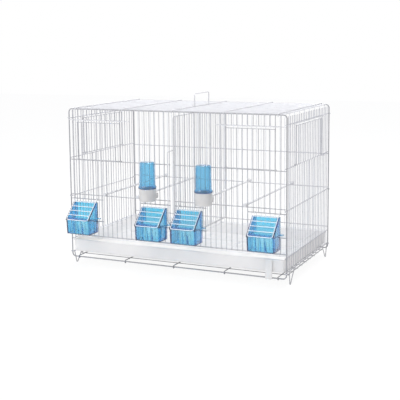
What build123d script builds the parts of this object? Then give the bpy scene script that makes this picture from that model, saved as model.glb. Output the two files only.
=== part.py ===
"""Breeding cage for small birds: a double cage of welded white wire panels that hook together.

X runs across the front, -Y is the front, +Z is up. All sizes are in millimetres. The cage is drawn
about the middle of its four corner posts; at the end everything moves back together, so that the
origin is on the floor under the middle of the overall box.
"""
from build123d import *
import os
from math import cos, hypot, radians, sin, sqrt

# Cage body, between the centres of the frame wires
CAGE_WIDTH = 600.0
CAGE_DEPTH = 344.0
FOOT_HEIGHT = 21.0
FRAME_HEIGHT = 393.0
FRAME_BEND = 9.0

# Heights above the lowest frame wire
TRAY_BAR_RISE = 60.0
FEEDER_SILL_RISE = 100.0
FLAP_HINGE_RISE = 157.0
PERCH_RAIL_RISE = 168.5
SIDE_LOW_RISE = 13.0
SIDE_FLOOR_RISE = 49.0
SIDE_MID_RISE = 163.5

# Openings of the front doors and nest box doors, down from the top frame wire
DOOR_HEAD_DROP = 28.0
DOOR_HEIGHT = 105.0
NEST_HEAD_DROP = 24.0
NEST_HEIGHT = 104.0

# Wire, measured across the flats of its drawn section
FRAME_WIRE = 3.0
RAIL_WIRE = 2.4
BAR_WIRE = 1.8
DOOR_WIRE = 2.0
HANDLE_WIRE = 2.8
CLEARANCE = 0.3

# Bars stand at an equal spacing; the middle front gap is the slot for the divider
BARS_BESIDE_SLOT = 21
SIDE_BARS = 24
DOOR_BARS = 10
DOOR_INSET_BARS = 2
OUTER_FEEDER_BARS = 6
INNER_FEEDER_BARS = 5
NEST_DOOR_BARS = 16
CROSS_WIRE_BARS = 10
BASE_BARS = 9
BASE_STEP_BARS = 2.5

# Roof, base and floor panels
PANEL_END_GAP = 5.0
SIDE_BAR_TOP_GAP = 4.0
HOOK_TAIL = 4.0
FLOOR_END_GAP = 8.0
EYE_ANGLE = 240.0
FACET_ANGLE = 40.0
HANDLE_HALF_BARS = 3.25
HANDLE_RISE = 35.0
HANDLE_CUT = 3.0

# Doors
DOOR_TOP_GAP = 6.0
HOOK_PLAY = 0.4
GUIDE_JOGGLE = 5.0
BOW_WIDTH = 16.0
BOW_REACH = 9.0
BOW_CUT = 3.0

# Feeders and their wire flaps
FEEDER_SIDE_GAP = 6.9
FEEDER_REACH = 50.0
FEEDER_CUP_DROP = 29.0
FEEDER_RIM_RISE = 9.5
FEEDER_HOOD_RISE = 51.0
FEEDER_WALL = 1.6
FEEDER_DRAFT = 3.0
FEEDER_RIM = 1.4
FEEDER_RIM_HEIGHT = 2.8
FEEDER_LUG = 8.5
LUG_ROOT = 9.0
FEEDER_RIBS = 5
RIB_WIDTH = 2.2
RIB_DEPTH = 0.8
FEEDER_HOOK_DROP = 5.0
FLAP_TILT = 46.0
FLAP_HALF_BARS = 2.25
FLAP_LENGTH = 70.5
FLAP_CUT = 4.0
FLAP_BARS = 4
FLAP_EYE_ANGLE = 200.0

# Drinkers
DRINKER_BARS = (-4, 7)
DRINKER_STANDOFF = 29.0
CUP_RADIUS = 22.0
CUP_BASE_RADIUS = 20.0
CUP_HEIGHT = 32.0
CUP_WALL = 1.8
SPOUT_PLAY = 1.1
SPOUT_HEIGHT = 13.0
SPOUT_REACH = 22.0
SPOUT_FACETS = 8
BOTTLE_RADIUS = 20.0
BOTTLE_HEIGHT = 67.0
BOTTLE_WALL = 1.4
BOTTLE_ROUND = 5.0
COLLAR_RADIUS = 23.0
COLLAR_HEIGHT = 4.0
COLLAR_TAPER = 5.0
NECK_RADIUS = 17.5
NECK_LENGTH = 12.0
DRINKER_FLUTES = 20

# Perches, divider, tray and feet
PERCH_DIAMETER = 6.0
PERCH_OVERHANG = 6.5
PERCH_CAP_DIAMETER = 10.0
PERCH_CAP_LENGTH = 14.0
PERCH_LIFT = 4.5
PERCH_FACETS = 10
PERCH_BARS = (-14, -7, 5, 14)
DIVIDER_TOP_GAP = 13.0
DIVIDER_END_GAP = 6.0
DIVIDER_CUT = 5.0
PULL_REACH = 27.0
PULL_TOP_GAP = 97.0
PULL_HEIGHT = 180.0
TRAY_SIDE_GAP = 5.0
TRAY_BACK_GAP = 6.0
TRAY_FRONT = 2.0
TRAY_RIM_GAP = 12.8
TRAY_DEPTH = 33.2
TRAY_DRAFT = 1.5
TRAY_WALL = 1.8
TRAY_CORNER = 7.0
TRAY_LIP = 2.3
TRAY_LIP_HEIGHT = 3.0
CHANNEL_WIDTH = 16.0
CHANNEL_SPACING = 170.0
CHANNEL_END_GAP = 22.0
TAB_WIDTH = 17.0
TAB_INSET = 43.5
TAB_HEIGHT = 50.2
TAB_THICKNESS = 3.0
TAB_CORNER = 3.0
FOOT_OUT_BARS = 10.8
FOOT_IN_BARS = 8.0
FOOT_LEAN = 4.0
END_FOOT_OUT_BARS = 12.0
END_FOOT_IN_BARS = 9.0
END_FOOT_LEAN = 10.0
FOOT_SOLE = 5.0

# Levels and planes worked out from the sizes above
z_low = FOOT_HEIGHT
z_top = z_low + FRAME_HEIGHT
z_tray_bar = z_low + TRAY_BAR_RISE
z_feeder_sill = z_low + FEEDER_SILL_RISE
z_flap = z_low + FLAP_HINGE_RISE
z_perch = z_low + PERCH_RAIL_RISE
z_side_low = z_low + SIDE_LOW_RISE
z_side_floor = z_low + SIDE_FLOOR_RISE
z_side_mid = z_low + SIDE_MID_RISE
z_door_head = z_top - DOOR_HEAD_DROP
z_door_sill = z_door_head - DOOR_HEIGHT
z_nest_head = z_top - NEST_HEAD_DROP
z_nest_sill = z_nest_head - NEST_HEIGHT
half_width = CAGE_WIDTH / 2
half_depth = CAGE_DEPTH / 2
pitch = half_width / (BARS_BESIDE_SLOT + 0.5)
side_pitch = CAGE_DEPTH / (SIDE_BARS + 1)
frame_corner = FRAME_WIRE / sqrt(3)
hook_radius = frame_corner + CLEARANCE + RAIL_WIRE / 2
rail_end = half_width - frame_corner
y_front = -half_depth
y_weld = y_front - FRAME_WIRE / 2
y_rail = y_weld + RAIL_WIRE / 2
y_bar = y_weld - BAR_WIRE / 2
y_face = y_weld - BAR_WIRE
bar_lap = FRAME_WIRE / 4
cross_x = [i * CROSS_WIRE_BARS * pitch for i in (-2, -1, 0, 1, 2)]
row_y = [(j + 0.5 - SIDE_BARS / 2) * side_pitch for j in range(SIDE_BARS)]
base_y = [(j - (BASE_BARS - 1) / 2) * BASE_STEP_BARS * side_pitch for j in range(BASE_BARS)]
nest_edge = (NEST_DOOR_BARS - 1) * side_pitch / 2
door_out = BARS_BESIDE_SLOT - DOOR_INSET_BARS
door_in = door_out - DOOR_BARS + 1
outer_feeder_in = BARS_BESIDE_SLOT - OUTER_FEEDER_BARS - 1
inner_feeder_out = INNER_FEEDER_BARS + 1


def section(width, sides):
    """Drawn section of a wire or rod, measured across its flats: a square or another regular shape."""
    if sides == 4:
        return Rectangle(width, width)
    return RegularPolygon(width / 2, sides, major_radius=False, rotation=180 / sides)


def rod(start, end, width, flat):
    """Straight square wire with one pair of flats facing along the vector flat."""
    run = Vector(*end) - Vector(*start)
    plane = Plane(origin=start, x_dir=flat, z_dir=run)
    return extrude(plane * section(width, 4), run.length)


def along(path, width, flat):
    """Square wire swept along a path, mitred at its corners, flats facing along the vector flat."""
    profile = Plane(origin=path @ 0, x_dir=flat, z_dir=path % 0) * section(width, 4)
    return sweep(profile, path=path, transition=Transition.RIGHT)


def bent(points, width, flat):
    """Square wire through points, mitred at each."""
    return along(Polyline(*points), width, flat)


def eyed(points, eyes, width, flat):
    """Square wire through points that ends in round eyes, each an arc from the first or last point."""
    return along(Wire(Polyline(*points).edges() + eyes), width, flat)


def eased(points, cut, closed=False):
    """The same run of flat points with each inner corner cut off at an equal distance both ways."""
    count = len(points)
    inner = range(count) if closed else range(1, count - 1)
    out = []
    for i in inner:
        x, y = points[i]
        for near in (points[i - 1], points[(i + 1) % count]):
            share = cut / hypot(near[0] - x, near[1] - y)
            out.append((x + (near[0] - x) * share, y + (near[1] - y) * share))
    return out if closed else [points[0]] + out + [points[-1]]


def curl(centre, radius, start, wrap):
    """Corner points of a wire that wraps a circle in equal facets, then the end of the last one."""
    facets = max(1, round(abs(wrap) / FACET_ANGLE))
    step = wrap / facets
    reach = radius / cos(radians(step / 2))
    angles = [radians(start + (i + 0.5) * step) for i in range(facets)]
    points = [(centre[0] + reach * cos(a), centre[1] + reach * sin(a)) for a in angles]
    end = radians(start + wrap)
    return points + [(centre[0] + radius * cos(end), centre[1] + radius * sin(end))]


def in_side_plane(x, points):
    """Points (y, z) set in the upright plane from front to back at x."""
    return [(x, p[0], p[1]) for p in points]


def in_front_plane(y, points):
    """Points (x, z) set in the upright plane across the cage at y."""
    return [(p[0], y, p[1]) for p in points]


def in_level(z, points):
    """Points (x, y) set at one height."""
    return [(p[0], p[1], z) for p in points]


def upright(x, y, low, high, width=BAR_WIRE):
    """Wire that stands from one height to another."""
    return rod((x, y, low), (x, y, high), width, (1, 0, 0))


def crosswise(x0, x1, y, z, width=RAIL_WIRE):
    """Wire that runs across the cage."""
    return rod((x0, y, z), (x1, y, z), width, (0, 1, 0))


def lengthwise(x, y0, y1, z, width=RAIL_WIRE):
    """Wire that runs from front to back."""
    return rod((x, y0, z), (x, y1, z), width, (1, 0, 0))


def facing(y):
    """Upright plane across the cage at depth y, its own axes along X and Z."""
    return Plane(origin=(0, y, 0), x_dir=(1, 0, 0), z_dir=(0, -1, 0))


def beside(k):
    """Distance from the middle to front bar k, counted from the divider slot outwards."""
    return (k + 0.5) * pitch


def panel_frame(y):
    """Closed rectangle of frame wire with bent corners, in the plane of a front or back panel."""
    corners = [(-half_width, z_low), (half_width, z_low), (half_width, z_top), (-half_width, z_top)]
    path = facing(y) * FilletPolyline(*corners, radius=FRAME_BEND, close=True)
    profile = Plane(origin=path @ 0, x_dir=(0, 1, 0), z_dir=path % 0) * section(FRAME_WIRE, 6)
    return sweep(profile, path=path)


def front_bar_runs(k):
    """Heights at which front bar k starts and ends, broken at the door and feeder openings."""
    cuts = []
    if 0 < k < inner_feeder_out or k > outer_feeder_in:
        cuts.append((z_feeder_sill, z_flap))
    if door_in < k < door_out:
        cuts.append((z_door_sill, z_door_head))
    runs = []
    low = z_tray_bar - RAIL_WIRE / 2
    for sill, head in cuts:
        runs.append((low, sill + RAIL_WIRE / 2))
        low = head - RAIL_WIRE / 2
    runs.append((low, z_top + bar_lap))
    return runs


def front_bars():
    """Upright bars of the front, mirrored about the divider slot."""
    wires = []
    for side in (-1, 1):
        for k in range(BARS_BESIDE_SLOT):
            wires += [upright(side * beside(k), y_bar, low, high) for low, high in front_bar_runs(k)]
    return wires


def front_rails():
    """Rails behind the front bars; those above the tray bar stop at the divider slot."""
    slot = beside(0) - BAR_WIRE / 2
    head_out = beside(door_out + 1) + BAR_WIRE / 2
    head_in = beside(door_in - 1) - BAR_WIRE / 2
    outer_in = beside(outer_feeder_in) - BAR_WIRE / 2
    inner_out = beside(inner_feeder_out) + BAR_WIRE / 2
    spans = [
        (slot, rail_end, z_door_sill),
        (slot, rail_end, z_perch),
        (head_in, head_out, z_door_head),
    ]
    for level in (z_feeder_sill, z_flap):
        spans += [(slot, inner_out, level), (outer_in, rail_end, level)]
    wires = [crosswise(-rail_end, rail_end, y_rail, z_tray_bar)]
    for side in (-1, 1):
        wires += [crosswise(side * x0, side * x1, y_rail, z) for x0, x1, z in spans]
    return wires


def door_guide(x0, x1, face, step, z):
    """Wire joggled out in front of a sliding door, welded to the bars two gaps past its sides."""
    y_weld_on = face - DOOR_WIRE / 2
    y_door = face - CLEARANCE - BAR_WIRE - DOOR_WIRE
    y_out = y_door - CLEARANCE - DOOR_WIRE / 2
    points = []
    for x, way in ((x0, -1), (x1, 1)):
        bend = x + way * (step / 2)
        end = [(bend, y_out), (bend + way * GUIDE_JOGGLE, y_weld_on), (x + way * 2 * step, y_weld_on)]
        points += end[::-1] if way < 0 else end
    return bent(in_level(z, points), DOOR_WIRE, (0, 0, 1))


def door(x0, x1, face, step, sill, head):
    """Sliding door on the panel bars at x0 and x1, its ends hooked round those two bars."""
    y_upright = face - CLEARANCE - BAR_WIRE / 2
    y_wire = face - CLEARANCE - BAR_WIRE - DOOR_WIRE / 2
    y_hook = face + BAR_WIRE + HOOK_PLAY + DOOR_WIRE / 2
    hook_out = BAR_WIRE / 2 + HOOK_PLAY + DOOR_WIRE / 2
    hook_in = BAR_WIRE / 2 + DOOR_WIRE / 2
    low = sill + RAIL_WIRE / 2 + CLEARANCE + DOOR_WIRE / 2
    high = head - DOOR_TOP_GAP
    points = [
        (x0 + hook_in, y_hook),
        (x0 - hook_out, y_hook),
        (x0 - hook_out, y_wire),
        (x1 + hook_out, y_wire),
        (x1 + hook_out, y_hook),
        (x1 - hook_in, y_hook),
    ]
    wires = [bent(in_level(low, points), DOOR_WIRE, (0, 0, 1))]
    wires.append(crosswise(x0 - BAR_WIRE / 2, x1 + BAR_WIRE / 2, y_wire, high, DOOR_WIRE))
    for i in range(round((x1 - x0) / step) + 1):
        wires.append(upright(x0 + i * step, y_upright, low - DOOR_WIRE / 2, high + DOOR_WIRE / 2))
    y_bow = y_wire - DOOR_WIRE / 2
    grip = x1 - step
    bow = [
        (grip - BOW_WIDTH / 2, y_bow),
        (grip - BOW_WIDTH / 2, y_bow - BOW_REACH),
        (grip + BOW_WIDTH / 2, y_bow - BOW_REACH),
        (grip + BOW_WIDTH / 2, y_bow),
    ]
    wires.append(bent(in_level(low, eased(bow, BOW_CUT)), DOOR_WIRE, (0, 0, 1)))
    return wires


def back_bars():
    """Upright bars of the back, which runs unbroken down to the lowest frame wire."""
    wires = []
    for k in range(BARS_BESIDE_SLOT):
        for side in (-1, 1):
            wires.append(upright(side * beside(k), -y_bar, z_low - bar_lap, z_top + bar_lap))
    return wires


def back_rails():
    """Rails of the back, level with those of the front."""
    return [crosswise(-rail_end, rail_end, -y_rail, z) for z in (z_tray_bar, z_perch, z_door_sill)]


def hooked_rail(z):
    """Side rail whose ends curl round the corner posts, drawn as if for the front."""
    first = curl((-half_depth, -half_width), hook_radius, 90, EYE_ANGLE)
    last = curl((half_depth, -half_width), hook_radius, 90, -EYE_ANGLE)
    return bent(in_level(z, first[::-1] + last), RAIL_WIRE, (0, 0, 1))


def side_rails():
    """Rails of a side panel: three hook round the posts, the sill and floor rails rest by them."""
    y = -half_width + hook_radius
    end = half_depth + FRAME_WIRE / 2
    hooked = [hooked_rail(z) for z in (z_side_low, z_side_mid, z_nest_head)]
    plain = [crosswise(-end, end, y, z) for z in (z_side_floor, z_nest_sill)]
    return hooked + plain


def side_face():
    """Outer face of the side bars, drawn as if for the front."""
    return -half_width + hook_radius - RAIL_WIRE / 2 - BAR_WIRE


def side_bars():
    """Upright bars of a side panel, broken at the nest box opening."""
    y = side_face() + BAR_WIRE / 2
    low = z_side_low - RAIL_WIRE / 2
    high = z_top - SIDE_BAR_TOP_GAP
    sill = z_nest_sill + RAIL_WIRE / 2
    head = z_nest_head - RAIL_WIRE / 2
    wires = []
    for x in row_y:
        if abs(x) < nest_edge - side_pitch / 2:
            wires += [upright(x, y, low, sill), upright(x, y, head, high)]
        else:
            wires.append(upright(x, y, low, high))
    return wires


def side_door():
    """Nest box door of a side panel."""
    return door(-nest_edge, nest_edge, side_face(), side_pitch, z_nest_sill, z_nest_head)


def side_guide():
    """Guide wire of a nest box door."""
    return door_guide(-nest_edge, nest_edge, side_face(), side_pitch, z_nest_head)


def foot(way, out_bars, in_bars, lean):
    """Foot bent from wire to a narrow V with a short sole, welded outside the low side rail."""
    y = -half_width + hook_radius - RAIL_WIRE / 2 - RAIL_WIRE / 2
    top = z_side_low + RAIL_WIRE / 2
    out = out_bars * side_pitch
    heel = out - lean
    points = [
        (way * out, top),
        (way * heel, RAIL_WIRE / 2),
        (way * (heel - FOOT_SOLE), RAIL_WIRE / 2),
        (way * in_bars * side_pitch, top),
    ]
    return bent(in_front_plane(y, points), RAIL_WIRE, (0, 1, 0))


def feet():
    """Both feet of a side panel: one stands in from the corner, the other close to it."""
    inset = foot(-1, FOOT_OUT_BARS, FOOT_IN_BARS, FOOT_LEAN)
    return [inset, foot(1, END_FOOT_OUT_BARS, END_FOOT_IN_BARS, END_FOOT_LEAN)]


def base_cross_wire(x):
    """Wire from front to back over the lowest frame wires, both ends curled round them."""
    front = curl((-half_depth, z_low), hook_radius, 90, EYE_ANGLE)
    rear = curl((half_depth, z_low), hook_radius, 90, -EYE_ANGLE)
    return bent(in_side_plane(x, front[::-1] + rear), RAIL_WIRE, (1, 0, 0))


def roof_cross_wire(x):
    """Wire over the top frame wires: an eye round the back one, an open hook over the front one."""
    front = curl((-half_depth, z_top), hook_radius, 90, 90)
    front[-1] = (-half_depth - hook_radius, z_top - HOOK_TAIL)
    rear = (half_depth, z_top + hook_radius)
    eye = Plane.YZ.offset(x) * JernArc(rear, (1, 0), hook_radius, -EYE_ANGLE)
    return eyed(in_side_plane(x, front[::-1] + [rear]), [eye], RAIL_WIRE, (1, 0, 0))


def base_edge_wire(way):
    """Straight wire that closes the ends of the base bars, level with the cross wires."""
    x = way * (half_width - PANEL_END_GAP - RAIL_WIRE / 2)
    return lengthwise(x, base_y[0] - RAIL_WIRE, base_y[-1] + RAIL_WIRE, z_low + hook_radius)


def cross_bars(level, places):
    """Bars welded under the cross wires of a roof or base panel."""
    z = level + hook_radius - RAIL_WIRE / 2 - BAR_WIRE / 2
    end = half_width - PANEL_END_GAP
    return [crosswise(-end, end, y, z, BAR_WIRE) for y in places]


def carry_handle():
    """Wire loop on the middle cross wire, each foot curled round it so that it folds flat."""
    z = z_top + hook_radius
    eye = RAIL_WIRE / sqrt(2) + CLEARANCE + HANDLE_WIRE / 2
    top = z + HANDLE_RISE - HANDLE_WIRE / 2
    end = HANDLE_HALF_BARS * side_pitch
    loop = [(-end, z), (-end, top), (end, top), (end, z)]
    eyes = [facing(y) * JernArc((eye, z), (0, -1), eye, -EYE_ANGLE) for y in (-end, end)]
    return eyed(in_side_plane(eye, eased(loop, HANDLE_CUT)), eyes, HANDLE_WIRE, (0, 1, 0))


def floor_grille():
    """Wire floor that lies on the side panels' floor rails and pulls out above the tray."""
    z = z_side_floor + RAIL_WIRE / 2 + CLEARANCE + BAR_WIRE / 2
    end = half_width - hook_radius + RAIL_WIRE / 2 - CLEARANCE
    wires = [crosswise(-end, end, y, z, BAR_WIRE) for y in row_y]
    y_end = half_depth - FLOOR_END_GAP
    wires += [lengthwise(x, -y_end, y_end, z + BAR_WIRE / 2 + RAIL_WIRE / 2) for x in cross_x]
    return wires


def divider():
    """Grille on a runner that lies on both tray bars and slides out through the front slot."""
    runner = z_tray_bar + RAIL_WIRE / 2 + CLEARANCE + RAIL_WIRE / 2
    low = runner + RAIL_WIRE
    high = z_top - DIVIDER_TOP_GAP
    end = half_depth - DIVIDER_END_GAP

    def rim(grow):
        """Face inside the frame's middle line, grown outwards by half the wire."""
        side = end + grow
        corners = [(-side, low - grow), (side, low - grow), (side, high + grow), (-side, high + grow)]
        cut = DIVIDER_CUT + grow * (2 - sqrt(2))
        return make_face(Polyline(*eased(corners, cut, closed=True), close=True))

    wires = [lengthwise(0, y_weld, -y_weld, runner)]
    wires.append(extrude(Plane.YZ * (rim(RAIL_WIRE / 2) - rim(-RAIL_WIRE / 2)), RAIL_WIRE / 2, both=True))
    pull_top = z_top - PULL_TOP_GAP
    pull_low = pull_top - PULL_HEIGHT
    inner = -end - RAIL_WIRE / 2
    reach = -half_depth - PULL_REACH
    loop = [(inner, pull_top), (reach, pull_top), (reach, pull_low), (inner, pull_low)]
    wires.append(bent(in_side_plane(0, eased(loop, DIVIDER_CUT)), RAIL_WIRE, (1, 0, 0)))
    x = RAIL_WIRE / 2 + BAR_WIRE / 2
    for y in row_y:
        if abs(y) < end - DIVIDER_CUT - RAIL_WIRE:
            wires.append(upright(x, y, low - RAIL_WIRE / 2, high + RAIL_WIRE / 2))
    return wires


def flap(x):
    """Wire flap hung on the hinge rail over a feeder, leaning out on the feeder's front edge."""
    eye = RAIL_WIRE / sqrt(2) + CLEARANCE + BAR_WIRE / 2
    half = FLAP_HALF_BARS * pitch
    tilt = radians(FLAP_TILT)
    down = Vector(0, -sin(tilt), -cos(tilt))
    out = Vector(0, -cos(tilt), sin(tilt))

    def point(across, outward, downward):
        """Place in the flap's own directions, measured from the middle of its hinge axis."""
        return Vector(x + across, y_rail, z_flap) + out * outward + down * downward

    eyes = []
    for way in (-half, half):
        plane = Plane(origin=point(way, 0, 0), x_dir=out, z_dir=(1, 0, 0))
        eyes.append(plane * JernArc((eye, 0), (0, -1), eye, -FLAP_EYE_ANGLE))
    sheet = [(-half, 0), (-half, FLAP_LENGTH), (half, FLAP_LENGTH), (half, 0)]
    path = [point(p[0], eye, p[1]) for p in eased(sheet, FLAP_CUT)]
    solids = [eyed(path, eyes, BAR_WIRE, (1, 0, 0))]
    side = half + BAR_WIRE / 2
    for i in range(1, FLAP_BARS + 1):
        run = FLAP_LENGTH * i / (FLAP_BARS + 1)
        ends = [point(way * side, eye + BAR_WIRE, run) for way in (-1, 1)]
        solids.append(rod(ends[0], ends[1], BAR_WIRE, out))
    return solids


def feeder_half():
    """Half the width of a feeder, which leaves its gap beside the bars of the inner openings."""
    return inner_feeder_out * pitch / 2 - FEEDER_SIDE_GAP


def feeder(x):
    """Feeder hung on the sill rail: ribbed seed cup under a hood with a sloping front and an open back."""
    half = feeder_half()
    wall = FEEDER_WALL
    eye = RAIL_WIRE / sqrt(2) + CLEARANCE + BAR_WIRE / 2
    tilt = radians(FLAP_TILT)
    y_back = y_face - CLEARANCE
    y_out = y_front - FEEDER_REACH
    low = z_feeder_sill - FEEDER_CUP_DROP
    rim = z_feeder_sill + FEEDER_RIM_RISE
    hood = z_feeder_sill + FEEDER_HOOD_RISE
    lean = eye - BAR_WIRE / 2 - CLEARANCE

    def under_flap(y):
        """Height at depth y of the line just under the flap's side wires."""
        return z_flap + (lean - (y_rail - y) * cos(tilt)) / sin(tilt)

    def flap_at(z):
        """Depth at height z of that line."""
        return y_rail - (lean - (z - z_flap) * sin(tilt)) / cos(tilt)

    outline = [
        (y_back, low),
        (y_out + FEEDER_DRAFT, low),
        (y_out, rim),
        (y_out, under_flap(y_out)),
        (flap_at(hood), hood),
        (y_back, hood),
    ]
    ceiling = hood - wall
    slope_drop = wall / sin(tilt)
    inside = [
        (y_back - wall, low + wall),
        (y_out + FEEDER_DRAFT + wall, low + wall),
        (y_out + wall, rim),
        (y_out + wall, under_flap(y_out + wall) - slope_drop),
        (flap_at(ceiling + slope_drop), ceiling),
        (y_back - wall, ceiling),
    ]
    body = extrude(Plane.YZ.offset(x) * make_face(Polyline(*outline, close=True)), half, both=True)
    body -= extrude(Plane.YZ.offset(x) * make_face(Polyline(*inside, close=True)), half - wall, both=True)
    lip = z_feeder_sill + RAIL_WIRE / 2 + CLEARANCE
    mouth_low = lip + wall
    mouth = Box(2 * (half - wall), 2 * wall, ceiling - mouth_low)
    body -= Pos(x, y_back - wall / 2, (mouth_low + ceiling) / 2) * mouth
    y_hook = y_rail + RAIL_WIRE / 2 + CLEARANCE + wall
    hanger = [
        (y_back - wall, lip),
        (y_hook - wall, lip),
        (y_hook - wall, lip - FEEDER_HOOK_DROP),
        (y_hook, lip - FEEDER_HOOK_DROP),
        (y_hook, lip + wall),
        (y_back - wall, lip + wall),
    ]
    body += extrude(Plane.YZ.offset(x) * make_face(Polyline(*hanger, close=True)), half - 2 * wall, both=True)
    rim_half = half + FEEDER_RIM
    rim_out = y_out - FEEDER_RIM
    lug = half + FEEDER_LUG
    rim_edge = [
        (-lug, y_back),
        (-rim_half, y_back - LUG_ROOT),
        (-rim_half, rim_out),
        (rim_half, rim_out),
        (rim_half, y_back - LUG_ROOT),
        (lug, y_back),
    ]
    hole = Pos(0, (y_back + y_out + wall) / 2) * Rectangle(2 * (half - wall), y_back - y_out - wall)
    plan = make_face(Polyline(*rim_edge, close=True)) - hole
    body += extrude(Pos(x, 0, rim - FEEDER_RIM_HEIGHT) * plan, FEEDER_RIM_HEIGHT)
    rib_step = 2 * half / (FEEDER_RIBS + 1)
    slope = FEEDER_DRAFT / (rim - low)
    rib_top = rim - FEEDER_RIM_HEIGHT
    for i in range(FEEDER_RIBS):
        spot = x - half + (i + 1) * rib_step
        rib = [
            (y_out + FEEDER_DRAFT + wall / 2, low),
            (y_out + FEEDER_DRAFT - RIB_DEPTH, low),
            (y_out + slope * (rim - rib_top) - RIB_DEPTH, rib_top),
            (y_out + slope * (rim - rib_top) + wall / 2, rib_top),
        ]
        face = Plane.YZ.offset(spot) * make_face(Polyline(*rib, close=True))
        body += extrude(face, RIB_WIDTH / 2, both=True)
    return body


def drinker_axis():
    """Depth of the drinkers' upright axis, outside the front."""
    return y_front - DRINKER_STANDOFF


def cup_low():
    """Underside of the drinkers' cups and troughs, just over the perch rail that carries them."""
    return z_perch + RAIL_WIRE / 2 + CLEARANCE


def fluted(outline, x, y):
    """Upright faceted body from (radius, height) pairs, lowest first, with a step where heights repeat."""
    body = None
    for (r0, z0), (r1, z1) in zip(outline, outline[1:]):
        if z1 > z0:
            band = loft([Pos(x, y, z) * RegularPolygon(r, DRINKER_FLUTES) for r, z in ((r0, z0), (r1, z1))])
            body = band if body is None else body + band
    return body


def drinker_cup(x):
    """White cup with a trough that reaches in between two bars and lies on the perch rail."""
    y = drinker_axis()
    low = cup_low()
    high = low + CUP_HEIGHT
    spout_high = low + SPOUT_HEIGHT
    half = (pitch - BAR_WIRE) / 2 - SPOUT_PLAY
    tip = y_front + SPOUT_REACH

    def trough(size, start, level, top):
        """Round-ended channel from the cup to its tip inside the cage."""
        end = tip - half
        plan = Pos(x, (start + end) / 2) * Rectangle(2 * size, end - start)
        plan += Pos(x, end) * section(2 * size, SPOUT_FACETS)
        return extrude(Plane.XY.offset(level) * plan, top - level)

    outer = fluted([(CUP_BASE_RADIUS, low), (CUP_RADIUS, high)], x, y)
    outer += trough(half, y, low, spout_high)
    taper = (CUP_RADIUS - CUP_BASE_RADIUS) * CUP_WALL / CUP_HEIGHT
    floor_radius = CUP_BASE_RADIUS + taper - CUP_WALL
    inner = fluted([(floor_radius, low + CUP_WALL), (CUP_RADIUS - CUP_WALL, high)], x, y)
    inner += trough(half - CUP_WALL / 2, y, low + CUP_WALL, spout_high)
    return outer - inner


def drinker_bottle(x):
    """Inverted bottle: neck down in the cup, flared collar on the cup's rim, rounded closed top."""
    seat = cup_low() + CUP_HEIGHT + CLEARANCE
    neck = seat - NECK_LENGTH
    body = seat + COLLAR_HEIGHT + COLLAR_TAPER
    top = seat + BOTTLE_HEIGHT
    outer = [
        (NECK_RADIUS, neck),
        (NECK_RADIUS, seat),
        (COLLAR_RADIUS, seat),
        (COLLAR_RADIUS, seat + COLLAR_HEIGHT),
        (BOTTLE_RADIUS, body),
        (BOTTLE_RADIUS, top - BOTTLE_ROUND),
        (BOTTLE_RADIUS - BOTTLE_ROUND, top),
    ]
    inner = [
        (NECK_RADIUS - BOTTLE_WALL, neck),
        (NECK_RADIUS - BOTTLE_WALL, seat),
        (BOTTLE_RADIUS - BOTTLE_WALL, body),
        (BOTTLE_RADIUS - BOTTLE_WALL, top - BOTTLE_ROUND),
        (BOTTLE_RADIUS - BOTTLE_ROUND, top - BOTTLE_WALL),
    ]
    y = drinker_axis()
    return fluted(outer, x, y) - fluted(inner, x, y)


def perch(x):
    """Round perch with capped ends, slotted from below to drop over the front and back perch rails."""
    end = -y_rail + PERCH_OVERHANG
    z = z_perch + PERCH_LIFT

    def round_bar(diameter, y0, y1):
        plane = Plane(origin=(x, y0, z), x_dir=(1, 0, 0), z_dir=(0, 1, 0))
        return extrude(plane * section(diameter, PERCH_FACETS), y1 - y0)

    bar = round_bar(PERCH_DIAMETER, -end, end)
    bar += round_bar(PERCH_CAP_DIAMETER, -end, PERCH_CAP_LENGTH - end)
    bar += round_bar(PERCH_CAP_DIAMETER, end - PERCH_CAP_LENGTH, end)
    low = z - PERCH_CAP_DIAMETER
    depth = z_perch + RAIL_WIRE / 2 + CLEARANCE - low
    slot = Box(2 * PERCH_CAP_DIAMETER, RAIL_WIRE + 2 * CLEARANCE, depth)
    for y in (y_rail, -y_rail):
        bar -= Pos(x, y, low + depth / 2) * slot
    return bar


def tray_block(inset, low, high):
    """Tapered block with rounded corners between two levels of the tray, inset all round."""
    rim = z_tray_bar - TRAY_RIM_GAP
    width = 2 * (half_width - TRAY_SIDE_GAP)
    length = CAGE_DEPTH + TRAY_FRONT - TRAY_BACK_GAP
    y = -(TRAY_FRONT + TRAY_BACK_GAP) / 2

    def ring(z):
        less = 2 * (inset + TRAY_DRAFT * (rim - z) / TRAY_DEPTH)
        return Pos(0, y, z) * RectangleRounded(width - less, length - less, TRAY_CORNER - inset)

    return loft([ring(low), ring(high)])


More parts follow.
